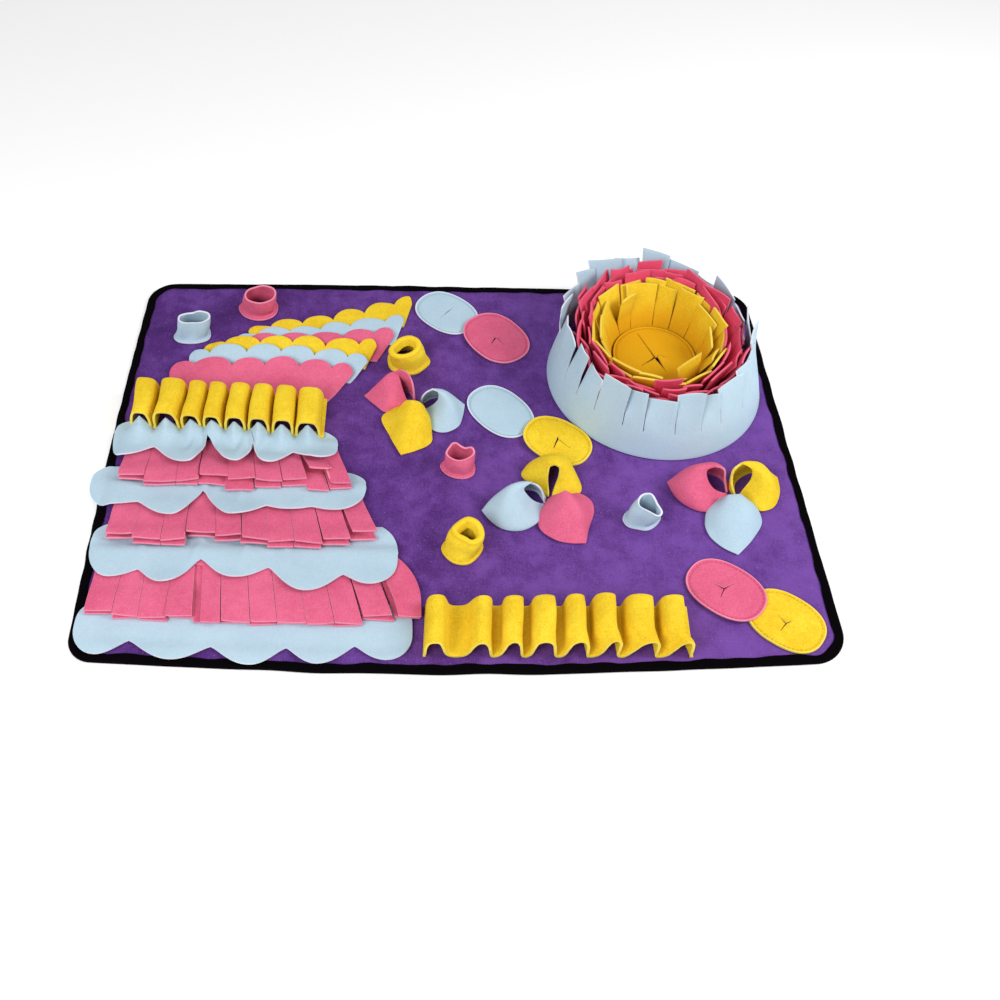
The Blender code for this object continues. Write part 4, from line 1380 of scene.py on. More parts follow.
LOOP_STRIPS = (
    LoopStrip("loop_strip_upper", (-334, 16.5), (-138, 5.5), 53.0, 6.2, 1.0, 1.8, (
        Loop(-334, -310, 22, 0.0), Loop(-310, -281, 24, 0.5), Loop(-281, -259, 22, 0.0),
        Loop(-259, -238, 22, -0.5), Loop(-238, -214, 22, 0.5), Loop(-214, -190, 22, 0.0),
        Loop(-190, -166, 22, 0.5), Loop(-166, -138, 20, -0.5)), 81, flare=3.2),
    LoopStrip("loop_strip_lower", (-36, -243), (204, -243), 51.5, FLOOR, 2.5, 0.0, (
        Loop(-36, -7, 23, 0.0, (
            (0.0, 0.0), (0.03, 0.25), (0.07, 0.65), (0.18, 0.93), (0.38, 1.0), (0.54, 0.93), (0.64, 0.62),
            (0.73, 0.22), (0.85, 0.05), (1.0, 0.0))),
        Loop(-7, 27, 22, 0.0, (
            (0.0, 0.0), (0.20, 0.08), (0.34, 0.32), (0.46, 0.70), (0.62, 0.97), (0.78, 0.98), (0.88, 0.80),
            (0.93, 0.45), (0.955, 0.15), (1.0, 0.0))),
        Loop(27, 54.5, 24, 0.0, (
            (0.0, 0.0), (0.16, 0.14), (0.31, 0.50), (0.42, 0.82), (0.60, 1.0), (0.76, 0.97), (0.86, 0.78),
            (0.91, 0.40), (0.94, 0.12), (1.0, 0.0)), (0.27, 0.92, 0.94)),
        Loop(54.5, 84.5, 24, 0.0, (
            (0.0, 0.0), (0.13, 0.16), (0.23, 0.55), (0.33, 0.86), (0.53, 1.0), (0.73, 0.97), (0.85, 0.78),
            (0.90, 0.40), (0.93, 0.12), (1.0, 0.0)), (0.18, 0.88, 1.04)),
        Loop(84.5, 112, 25, 0.0, (
            (0.0, 0.0), (0.14, 0.16), (0.25, 0.50), (0.37, 0.84), (0.58, 1.0), (0.78, 0.98), (0.90, 0.78),
            (0.94, 0.40), (0.96, 0.12), (1.0, 0.0)), (0.20, 0.84, 1.07)),
        Loop(112, 140, 26, 1.0, (
            (0.0, 0.0), (0.18, 0.08), (0.33, 0.28), (0.44, 0.66), (0.56, 0.93), (0.72, 1.0), (0.86, 0.86),
            (0.90, 0.50), (0.91, 0.15), (1.0, 0.0)), (0.08, 0.82, 1.12)),
        Loop(140, 173.5, 24, 1.0, (
            (0.0, 0.0), (0.12, 0.16), (0.28, 0.50), (0.44, 0.84), (0.66, 1.0), (0.82, 0.97), (0.90, 0.76),
            (0.93, 0.40), (0.945, 0.12), (1.0, 0.0)), (0.10, 0.88, 1.09)),
        Loop(173.5, 205, 24, 0.5, (
            (0.0, 0.0), (0.18, 0.10), (0.34, 0.45), (0.50, 0.84), (0.68, 1.0), (0.82, 0.94), (0.89, 0.66),
            (0.92, 0.30), (0.95, 0.04), (1.0, 0.0)), (0.06, 0.74, 1.09))), 82, foot=1.2, flare=2.2),
)


# Cups, discs and petals ----------------

def closed_line(points: Sequence, count: int) -> np.ndarray:
    """A smooth closed line through points, read at evenly spread bearings about its own middle.

    Args:
        points: The points that it passes.
        count: How many points it is read at.

    Returns:
        Those points.
    """
    line = spline(np.array(points, float), 12, closed=True)
    middle = line[:, :2].mean(axis=0)
    bearing = np.arctan2(line[:, 1] - middle[1], line[:, 0] - middle[0])
    order = np.argsort(bearing)
    wanted = -math.pi + 2 * math.pi * np.arange(count) / count
    return np.stack([np.interp(wanted, bearing[order], line[order, axis], period=2 * math.pi)
                     for axis in range(line.shape[1])], axis=1)


def open_line(points: Sequence, count: int) -> np.ndarray:
    """A smooth open line through points, read at evenly spread places.

    Args:
        points: The points that it passes.
        count: How many spans it is read in.

    Returns:
        The ends of the spans.
    """
    line = spline(np.array(points, float), 12)
    reach = np.concatenate([[0.0], np.cumsum(np.linalg.norm(np.diff(line, axis=0), axis=1))])
    wanted = np.linspace(0, reach[-1], count + 1)
    return np.stack([np.interp(wanted, reach, line[:, axis]) for axis in range(line.shape[1])], axis=1)


class Cup(NamedTuple):
    """A cup: its middle, its flange's width, and the outlines of its foot and rim about that middle."""

    name: str
    felt: Felt
    x: float
    y: float
    flange: float
    foot: tuple
    rim: tuple


@dataclass
class Cups:
    """Small felt tubes with a flared foot that is sewn to the mat; the thick ones have a rolled rim."""

    cups: tuple = (
        Cup("cup_1", Felt.BLUE, -290, 161, 3.8, (
            (-19.4, -9.9), (-17.7, -2.6), (-16.1, 4.8), (-1.9, 12.5), (16.2, 6.9), (20.5, -3.2),
            (19.5, -12), (10.2, -17.6), (-3.7, -19.1), (-14.5, -16.4)), (
            (-9.5, -2.5, 27), (-3.6, 0.8, 27), (3.4, 3.3, 26), (10.9, 3.1, 29), (21.2, 0.9, 28),
            (22.7, -4.7, 27), (16.1, -10.4, 26), (4.8, -9.7, 24), (-4.1, -13.1, 27), (-9.4, -9.2, 27))),
        Cup("cup_2", Felt.PINK, -221, 201, 4.2, (
            (-22.1, 0.5), (-15.8, 10.0), (1.4, 15.5), (17.6, 11.5), (22.4, 0.9), (19.6, -12.3), (9.1, -19.7),
            (-2.0, -20.3), (-15.0, -13.8)), (
            (-10.9, -7.5, 27), (-8.4, 0.8, 27), (-2.2, 5.0, 27), (7.9, 6.3, 29), (19.2, 3.0, 28),
            (22.1, -3.4, 27), (19.4, -13.3, 27), (6.6, -18.9, 26), (-7.0, -15.5, 27))),
        Cup("cup_3", Felt.YELLOW, -50, 118, 3.6, (
            (-22.3, 0.1), (-19.9, 13.1), (-3.2, 21.3), (13.6, 17.7), (21.0, 8.7), (24.2, -0.5), (19.4, -8.1),
            (8.7, -17.7), (-4.8, -18.9), (-18.4, -11.6)), (
            (-20.2, -7.0, 26), (-17.1, 2.0, 26), (-8.1, 11.5, 27), (2.8, 12.5, 29), (11.6, 7.5, 28),
            (12.8, -1.2, 26), (6.5, -10.5, 25), (-4.3, -14.8, 24), (-16.2, -13.5, 25))),
        Cup("cup_4", Felt.PINK, 0.5, -33, 3.2, (
            (-17.6, 5.1), (-14.7, 10.5), (-0.9, 16.3), (15.3, 10.9), (17.7, 3.5), (15.8, -5.7), (7.6, -10.7),
            (-4.6, -9.5), (-13.7, -3.4)), (
            (-12.2, 2.8, 25), (-8.6, 10.5, 26), (-5.6, 13.4, 28), (-2.3, 13.4, 28), (2.4, 12.0, 25),
            (6.4, 10.5, 24), (12.7, 9.8, 26), (15.3, 5.7, 25), (13.3, 1.2, 24), (0.8, -3.8, 22),
            (-8.4, -2.0, 24))),
        Cup("cup_5", Felt.YELLOW, 2.5, -132, 3.0, (
            (-20.2, 2.9), (-15.5, 12.5), (0.6, 21.2), (16.2, 13.8), (19.7, 5.4), (13.7, -6.6), (4.4, -14.1),
            (-7.0, -13.4), (-15.5, -6.8)), (
            (-10.8, 11.3, 24), (-2.8, 20.2, 25), (4.9, 22.7, 27), (13.9, 17.9, 27), (18.4, 8.8, 25),
            (17.3, 0.8, 23), (8.9, -4.4, 22), (0.5, -0.8, 22), (-8.6, 5.3, 23))),
        Cup("cup_6", Felt.BLUE, 179, -94, 3.2, (
            (-18.2, 3.6), (-12.7, 11.1), (1.6, 15.9), (16.0, 10.5), (19.2, 3.4), (12.8, -6.2), (3.8, -11.4),
            (-5.0, -10.2), (-14.2, -7.2), (-18.0, -1.5)), (
            (-6.9, 5.1, 25), (-3.7, 11.8, 26), (1.4, 14.2, 27), (6.5, 13.3, 27), (10.4, 3.1, 26),
            (14.0, -6.7, 25), (10.8, -10.0, 24), (2.2, -5.0, 24), (-5.8, 1.3, 24))),
    )
    columns: int = 84
    steps: int = 6
    thick: float = 2.0
    rolled_thick: float = 2.2
    foot_rise: float = 1.2
    dent: float = 0.9
    roll: float = 2.1
    rolled_in: float = 7.0
    funnel: float = 0.25

    def rolled(self, rim: np.ndarray, inward: np.ndarray) -> list[np.ndarray]:
        """The levels of a rim that turns over and runs down inside its own wall.

        Args:
            rim: The points of the rim.
            inward: The way to its middle, at each of them.

        Returns:
            The levels, from the rim down.
        """
        levels = []
        for degrees in (0, 35, 90, 145, 180):
            turn = math.radians(degrees)
            level = rim.copy()
            level[:, :2] += inward * self.roll * (1 - math.cos(turn))
            level[:, 2] += self.roll * (math.sin(turn) - 1)
            levels.append(level)
        for drop in (self.rolled_in / 2, self.rolled_in):
            level = levels[4].copy()
            level[:, :2] += inward * drop * self.funnel
            level[:, 2] -= drop
            levels.append(level)
        return levels

    def surface(self, cup: Cup, thick: float, seed: int) -> np.ndarray:
        """The cup's middle surface.

        Args:
            cup: Which cup.
            thick: How thick its felt is.
            seed: What its dents are drawn from.

        Returns:
            The points, by column round it and row up it.
        """
        foot = closed_line(cup.foot, self.columns) + (cup.x, cup.y)
        rim = closed_line(cup.rim, self.columns) + (cup.x, cup.y, FLOOR)
        out = foot - foot.mean(axis=0)
        out = out / np.linalg.norm(out, axis=1, keepdims=True)
        inward = rim[:, :2].mean(axis=0) - rim[:, :2]
        inward = inward / np.linalg.norm(inward, axis=1, keepdims=True)
        waist = foot - out * cup.flange
        low = np.full((self.columns, 1), FLOOR + thick / 2 + GAP)
        dent = Ripple(1.9, seed)(out[:, 0], out[:, 1])[:, None]
        levels = [
            np.hstack([foot, low]), np.hstack([waist + out * 1.1, low + 0.35]),
            np.hstack([waist - out * 0.3, low + self.foot_rise + 1.6])]
        for share, bulge in ((0.40, 0.5), (0.68, 0.8)):
            tall = low * (1 - share) + rim[:, 2:] * share
            levels.append(np.hstack([
                waist * (1 - share) + rim[:, :2] * share + out * (bulge + self.dent * dent), tall]))
        levels += self.rolled(rim, inward) if cup.felt is Felt.YELLOW else [rim]
        return spline(np.array(levels), self.steps).transpose(1, 0, 2)

    def build(self) -> None:
        """All the cups, each with the sewing of its foot."""
        for number, cup in enumerate(self.cups):
            thick = self.rolled_thick if cup.felt is Felt.YELLOW else self.thick
            points = self.surface(cup, thick, 100 + number)
            sheet = Sheet(cup.name, cup.felt, points, thick, ring=True, bevel=0.45)
            made = sheet.build()
            seam = points[:, 2] + np.array((0.0, 0.0, thick / 2 + 0.05))
            stitches = Stitches(cup.name + "_stitches", cup.felt, seam[::-1]).build()
            declare(sheet, made, [stitches])


class Disc(NamedTuple):
    """A disc: its middle, half sizes and turn, the rise of one side, and its slit.

    The slit has a corner and the ends of its arms, both from the disc's middle, and a width.
    """

    name: str
    felt: Felt
    x: float
    y: float
    rx: float
    ry: float
    turn: float
    rise: float
    towards: float
    corner: Optional[Plan]
    arms: tuple = ()
    slit: float = 1.0


@dataclass
class SlitDisc:
    """A round of felt with straight slits from one corner, flaps between them and a line of stitches.

    A flap stands between two arms and has a height. seam and crease are how far inside the rim the
    stitches and a pressed line run, square is the power of the superellipse that is its outline, and
    pale how far inward the cut edge's paler tone reaches, which is partly its fuzzy cut and partly a
    painted highlight along the rim.
    """

    name: str
    felt: Felt
    rx: float
    ry: float
    turn: float
    middle: tuple
    tilt: tuple = (0.0, 0.0)
    corner: Optional[Plan] = None
    arms: tuple = ()
    flaps: tuple = ((0, 1, 2.2),)
    seam: float = 3.4
    crease: float = 0.0
    slit: float = 1.6
    square: float = 2.35
    pale: float = 1.9
    columns: int = 96
    round_by: float = 0.4
    groove: float = 1.1
    crease_deep: float = 0.5
    pressed: float = 0.65

    def on_rim(self, inset: float) -> np.ndarray:
        """The disc's outline.

        Args:
            inset: How far it is drawn in.

        Returns:
            Its points, in plan.
        """
        angle = np.linspace(0, 2 * math.pi, self.columns, endpoint=False)
        u, v = (np.sign(way) * np.abs(way) ** (2 / self.square) for way in (np.cos(angle), np.sin(angle)))
        u, v = u * (self.rx - inset), v * (self.ry - inset * self.ry / self.rx)
        turn = math.radians(self.turn)
        cos, sin = math.cos(turn), math.sin(turn)
        return np.column_stack([u * cos - v * sin, u * sin + v * cos])

    def flat_round(self, thick: float) -> bpy.types.Object:
        """The uncut disc, flat, about its own middle.

        Args:
            thick: How thick it is.

        Returns:
            The object.
        """
        soft = self.round_by
        insets = [*(self.rx * (1 - np.linspace(0.05, 0.85, 9))), *np.linspace(self.rx * 0.12, soft + 0.3, 7)]
        upper = [(inset, thick) for inset in insets]
        edge = [(soft, thick), (soft * 0.3, thick - soft * 0.3), (0.0, thick - soft), (0.0, soft),
                (soft * 0.3, soft * 0.3), (soft, 0.0)]
        lower = [(inset, 0.0) for inset in reversed(insets)]
        sections = [
            np.column_stack([self.on_rim(inset), np.full(self.columns, height)])
            for inset, height in upper + edge + lower]
        faces: list = []
        looks: list = []
        for ring in range(len(sections) - 1):
            # Rings within pale of the rim take the cut-edge material, whose paler tone is partly a painted
            # highlight.
            at_edge = ring < len(upper) + len(edge) - 1 and (upper + edge)[ring][0] < self.pale
            for index in range(self.columns):
                after = (index + 1) % self.columns
                low, high = ring * self.columns, (ring + 1) * self.columns
                faces.append((low + index, high + index, high + after, low + after))
                looks.append(int(at_edge))
        faces.append(tuple(range(self.columns)))
        below = (len(sections) - 1) * self.columns
        faces.append(tuple(reversed(range(below, below + self.columns))))
        return mesh_object(self.name + "_felt", np.concatenate(sections), faces, looks + [0, 0], self.felt)

    def blade(self, arm: Plan) -> bpy.types.Object:
        """A thin upright blade along one arm of the slit.

        Args:
            arm: The arm's end.

        Returns:
            The object.
        """
        start, end = np.array(self.corner, float), np.array(arm, float)
        along = (end - start) / np.linalg.norm(end - start)
        across = np.array((-along[1], along[0])) * self.slit / 2
        start = start - along * 0.2
        ring = (start - across, end - across * 0.3, end + across * 0.3, start + across)
        verts = [np.array((*spot, height)) for height in (-5.0, 9.0) for spot in ring]
        faces = [(3, 2, 1, 0), (4, 5, 6, 7)]
        faces += [(i, (i + 1) % 4, 4 + (i + 1) % 4, 4 + i) for i in range(4)]
        return mesh_object(self.name + "_blade", np.array(verts), faces, [1] * len(faces), self.felt)

    def cut(self, made: bpy.types.Object) -> None:
        """Cuts every slit through the disc.

        Args:
            made: The disc.
        """
        for arm in self.arms:
            blade = self.blade(arm)
            boolean = made.modifiers.new("Slit", "BOOLEAN")
            boolean.operation = "DIFFERENCE"
            boolean.object = blade
            boolean.solver = "EXACT"
            applied(made)
            bpy.data.objects.remove(blade)

    def rise(self, x: np.ndarray, y: np.ndarray) -> np.ndarray:
        """How far the disc lies above its lowest, with its swell, its tilt and its lifted flaps.

        Args:
            x: Places from its middle.
            y: Places from its middle.

        Returns:
            The rise there.
        """
        swell = Ripple(26.0, sum(map(ord, self.name)))
        made = 0.12 + 0.12 * swell(x, y) + self.tilt[0] * x + self.tilt[1] * y
        if self.corner is None:
            return made
        for first, second, amount in self.flaps if len(self.arms) > 1 else ():
            # A flap is the triangle between two arms: a and b are shares of the way along each.
            spots = (self.corner, self.arms[first], self.arms[second])
            corner, one, other = (np.array(spot, float) for spot in spots)
            to = np.linalg.inv(np.column_stack([one - corner, other - corner]))
            a = to[0, 0] * (x - corner[0]) + to[0, 1] * (y - corner[1])
            b = to[1, 0] * (x - corner[0]) + to[1, 1] * (y - corner[1])
            inside = (a > 0) & (b > 0) & (a + b < 1)
            made = made + np.where(inside, amount * np.abs(1 - a - b) ** 1.2, 0.0)
        return made

    def build(self, held: Hold, rests_on: Sequence[str]) -> None:
        """The disc, its slits and its ring of stitches.

        Args:
            held: How it is held; not used.
            rests_on: The names of the pieces that it lies on; not used.
        """
        thick = THICKNESS[self.felt]
        made = self.flat_round(thick)
        self.cut(made)
        verts = np.array([vert.co for vert in made.data.vertices]) / MM
        x, y = verts[:, 0], verts[:, 1]
        turn = math.radians(self.turn)
        u, v = x * math.cos(turn) + y * math.sin(turn), y * math.cos(turn) - x * math.sin(turn)
        away = (np.abs(u) / self.rx) ** self.square + (np.abs(v) / self.ry) ** self.square
        depth = self.rx * (1 - away ** (1 / self.square))
        groove = self.groove * np.exp(-(depth - self.seam) ** 2)
        if self.crease:
            groove = groove + self.crease_deep * np.exp(-(depth - self.crease) ** 2)
        groove = groove * (verts[:, 2] > thick / 2)
        verts[:, 2] += self.rise(x, y) - groove
        made.data.vertices.foreach_set("co", ((verts + self.middle) * MM).ravel())
        made.data.update()
        line = self.on_rim(self.seam)
        height = self.rise(line[:, 0], line[:, 1]) + thick - self.pressed
        line = np.column_stack([line, height]) + self.middle
        stitches = Stitches(self.name + "_stitches", self.felt, line, gap=1.2, radius=0.4).build()
        enrol(made, self.name)
        enrol(stitches)
        rim = self.on_rim(0.0)
        2 * self.rx * MM
        2 * self.ry * MM


@dataclass
class Discs:
    """Six stitched discs laid on the mat, two by two."""

    discs: tuple = (
        Disc("disc_1", Felt.BLUE, -6, 198.5, 38, 29.5, -42, 0.0, 0, (1, 1),
             ((9, 11), (-8, -10)), 1.3),
        Disc("disc_2", Felt.PINK, 49, 157, 40, 32, -52, 2.3, 142, (-0.5, -0.5),
             ((-6, -10), (8, -10)), 2.8),
        Disc("disc_3", Felt.BLUE, 48, 48, 39.5, 28.5, -50, 0.0, 0, None),
        Disc("disc_4", Felt.YELLOW, 105, 6.5, 36.5, 28, -33, 2.3, 145, (0, 0.5),
             ((-5, -10.5), (11.5, -10), (0.5, 4.5)), 2.3),
        Disc("disc_5", Felt.PINK, 247, -173, 38, 29, -40, 2.9, -37, (-2, 0),
             ((-12.5, 8.5), (9, 6.5), (-7, -9)), 1.0),
        Disc("disc_6", Felt.YELLOW, 297, -205, 36.5, 29, -38, 0.0, 0, (-1.5, -4),
             ((-6.5, 5), (5.5, 0), (-8, -11)), 1.0),
    )

    def build(self) -> None:
        """All the discs."""
        for disc in self.discs:
            slope = disc.rise / (disc.rx + disc.ry)
            turn = math.radians(disc.towards)
            tilt = (slope * math.cos(turn), slope * math.sin(turn))
            middle = (disc.x, disc.y, FLOOR + disc.rise / 2 + (GAP if disc.rise else 0.0))
            made = SlitDisc(disc.name, disc.felt, disc.rx, disc.ry, disc.turn, middle, tilt, disc.corner,
                            disc.arms, slit=disc.slit)
            made.build(Hold.LAID, ["base_mat_felt"])


class Petal(NamedTuple):
    """A hooded petal: its sewn corner, and the lines of its foot and mouth about that corner.

    Each line runs from the sewn corner to the square's free corner and then back again.
    """

    name: str
    felt: Felt
    x: float
    y: float
    foot_out: tuple
    foot_back: tuple
    mouth_up: tuple
    mouth_down: tuple
    swell: float


@dataclass
class Petals:
    """Felt squares folded into hoods, three to a group, mouths to the middle."""

    petals: tuple = (
        Petal("petal_1_pink", Felt.PINK, -51, 60, (
            (9, 0), (1, 15), (-15, 21), (-32, 16), (-45, 7)), (
            (-45, 7), (-34, -5), (-22, -16), (-11, -9), (2, 0)), (
            (7, 0, 1), (7, 1, 14), (5, 4, 27), (1, 8, 35), (-5, 10, 38)), (
            (-5, 10, 38), (-9, 11, 36), (-7, 7, 24), (-4, 4, 12), (0, 1, 1)), 4.5),
        Petal("petal_1_yellow", Felt.YELLOW, -45, 48, (
            (-3, 8), (-17, 1), (-32, -12), (-23, -37), (-12, -62)), (
            (-12, -62), (4, -56), (19, -45), (15, -21), (13, -3), (10, 5)), (
            (1, 8, 1), (-6, -2, 12), (-7, -5, 20), (-1, -9, 25)), (
            (-1, -9, 25), (6, -10, 24), (11, -10, 17), (11, -4, 8), (8, 5, 1)), 4.0),
        Petal("petal_1_blue", Felt.BLUE, -34, 50, (
            (1, 8), (9, 14), (23, 17), (35, 12), (44, 6)), (
            (44, 6), (41, -11), (36, -25), (22, -33), (9, -29), (4, -16), (2, 0)), (
            (0, 7, 1), (-2, 3, 12), (2, 3, 22), (9, 4, 27)), (
            (9, 4, 27), (15, 0, 27), (16, -2, 20), (12, -1, 10), (4, 0, 1)), 5.0),
        Petal("petal_2_blue", Felt.BLUE, 80, -72, (
            (5, 0), (-3, 13), (-20, 14), (-43, 4), (-57, -11)), (
            (-57, -11), (-48, -24), (-36, -33), (-20, -34), (-7, -27), (2, -15), (5, -3)), (
            (5, -1, 1), (2, 1, 14), (-3, 2, 24), (-10, 3, 29)), (
            (-10, 3, 29), (-18, -2, 26), (-14, -4, 18), (-6, -4, 8), (3, -2, 1)), 10.0),
        Petal("petal_2_yellow", Felt.YELLOW, 88, -62, (
            (2, -4), (-3, 9), (-15, 16), (-23, 23), (-9, 41), (12, 48)), (
            (12, 48), (25, 35), (35, 10), (33, 1), (19, 0), (5, -4)), (
            (2, -3, 1), (1, 6, 10), (0, 11, 21), (1, 14, 27), (6, 15, 29)), (
            (6, 15, 29), (11, 13, 27), (11, 9, 19), (8, 5, 9), (5, -3, 1)), 8.0),
        Petal("petal_2_pink", Felt.PINK, 92, -75, (
            (-1, 8), (-7, -7), (-14, -28), (0, -42), (14, -46), (29, -46)), (
            (29, -46), (33, -29), (41, -7), (39, 5), (30, 12), (10, 11)), (
            (4, 10, 1), (1, 4, 10), (5, -1, 20), (10, -1, 25)), (
            (10, -1, 25), (14, -2, 23), (17, 2, 12), (9, 11, 1)), 6.0),
        Petal("petal_3_pink", Felt.PINK, 265, -61, (
            (6, 4), (2, 20), (-12, 28), (-34, 26), (-53, 15)), (
            (-53, 15), (-47, -3), (-36, -15), (-22, -21), (-10, -17), (-1, -4), (5, 1)), (
            (5, 3, 1), (1, 9, 14), (-4, 10, 30), (-13, 10, 34)), (
            (-13, 10, 34), (-21, 9, 30), (-19, 5, 20), (-10, 2, 8), (3, 2, 1)), 9.0),
        Petal("petal_3_yellow", Felt.YELLOW, 277, -61, (
            (0, 1), (4, 15), (22, 28), (38, 27), (48, 22)), (
            (48, 22), (46, 3), (35, -16), (22, -20), (14, -13), (4, -2)), (
            (1, -1, 1), (-5, 4, 14), (-6, 10, 28), (1, 14, 34)), (
            (1, 14, 34), (12, 11, 29), (14, 8, 18), (8, 3, 6), (5, 0, 1)), 7.0),
        Petal("petal_3_blue", Felt.BLUE, 272, -71, (
            (-2, 8), (-18, -7), (-30, -24), (-29, -40), (-18, -54), (-5, -62)), (
            (-5, -62), (12, -44), (26, -21), (18, -5), (12, 6)), (
            (-1, 8, 1), (-7, 2, 8), (-7, -1, 15), (-2, -2, 17)), (
            (-2, -2, 17), (5, -1, 16), (11, 0, 9), (10, 5, 1)), 7.0),
    )
    half_columns: int = 36
    rows: int = 24
    brim: float = 0.05
    soften: int = 9
    dent: float = 0.6

    def surface(self, petal: Petal, thick: float, seed: int) -> np.ndarray:
        """The hood's middle surface.

        Args:
            petal: Which petal.
            thick: How thick its felt is.
            seed: What its dents are drawn from.

        Returns:
            The points, by column across it and row from the mat up to the mouth.
        """
        low = thick / 2 + GAP
        foot, mouth = (
            np.concatenate([open_line(out, self.half_columns), open_line(back, self.half_columns)[1:]])
            for out, back in ((petal.foot_out, petal.foot_back), (petal.mouth_up, petal.mouth_down)))
        foot = np.column_stack([foot, np.full(len(foot), low)])
        mouth[:, 2] = np.maximum(mouth[:, 2], low)
        share = np.linspace(0, 1, self.rows + 1)[None, :, None]
        line = foot[:, None] * (1 - share) + mouth[:, None] * share
        tall = share - self.brim * np.sin(2 * math.pi * share)
        line[..., 2] = (foot[:, None] * (1 - tall) + mouth[:, None] * tall)[..., 2]
        # Between its two sharp corners the fold is round.
        soft = line.copy()
        for _ in range(self.soften):
            soft[1:-1] = (soft[:-2] + 2 * soft[1:-1] + soft[2:]) / 4
        between = 4 * share * (1 - share)
        line = line + (soft - line) * between ** 0.6
        core = line.mean(axis=0, keepdims=True)
        away = line - core
        away = away / np.maximum(np.linalg.norm(away, axis=-1, keepdims=True), 1e-6)
        ends = np.sin(math.pi * np.linspace(0, 1, len(foot)))[:, None, None] ** 0.5
        made = line + away * between * petal.swell * ends
        dent = Ripple(24.0, seed)(made[..., 0], made[..., 1])[..., None] * self.dent
        made = made + away * dent * between ** 0.7 * ends
        made[..., 2] = np.maximum(made[..., 2], low)
        return made + np.array((petal.x, petal.y, FLOOR))

    def build(self) -> None:
        """All the petals."""
        for number, petal in enumerate(self.petals):
            thick = THICKNESS[petal.felt]
            points = self.surface(petal, thick, 140 + number)
            sheet = Sheet(petal.name, petal.felt, points, thick, bevel=0.4, square=True)
            declare(sheet, sheet.build())


# The bowl ----------------

class Ring(NamedTuple):
    """A fringed ring: radii at base and rim, height, where its slits start, and its cut tabs.

    Its bow swells the wall, its heights are uneven from tab to tab, its turn is where the first tab
    starts and its chaos how far tabs twist, lean and curl. Its louvre turns each tab's right edge outward,
    its splay leans the tabs outward towards the bearing splay_to, in radians, and bent names the bearing
    of single tabs, in degrees, and how far each leans inward. Where it is full its tabs keep the width of
    their roots and overlap, and lows names stretches of lower tabs by bearing, spread and drop.
    """

    name: str
    felt: Felt
    base_r: float
    rim_r: float
    height: float
    slit: float
    tabs: int
    bow: float
    uneven: float
    turn: float
    chaos: float
    louvre: float = 0.0
    splay: float = 0.0
    splay_to: float = -1.2
    bent: tuple = ()
    full: float = 0.0
    lows: tuple = ()

    def splayed(self, middle: float) -> float:
        """How far a tab at that bearing is splayed, outward or, when less than 0, inward."""
        return self.splay * max(math.cos(middle - self.splay_to), 0.0)

    def outward(self, middle: float, half: float) -> float:
        """How far the tip of one tab leans outward.

        Args:
            middle: The tab's bearing, in radians.
            half: Half the angle that it fills.

        Returns:
            The lean, less than 0 inward.
        """
        lean = self.splayed(middle)
        for bearing, amount in self.bent:
            apart = (middle - math.radians(bearing) + math.pi) % (2 * math.pi) - math.pi
            lean -= amount if abs(apart) < half else 0.0
        return lean

    def dropped(self, middle: float) -> float:
        """How much lower the tab at a bearing is, in a stretch of lower ones.

        Args:
            middle: The tab's bearing, in radians.

        Returns:
            The drop.
        """
        drop = 0.0
        for bearing, spread, amount in self.lows:
            apart = (math.degrees(middle) - bearing + 180) % 360 - 180
            drop += amount * float(ease(1.6 * (1 - abs(apart) / spread)))
        return drop


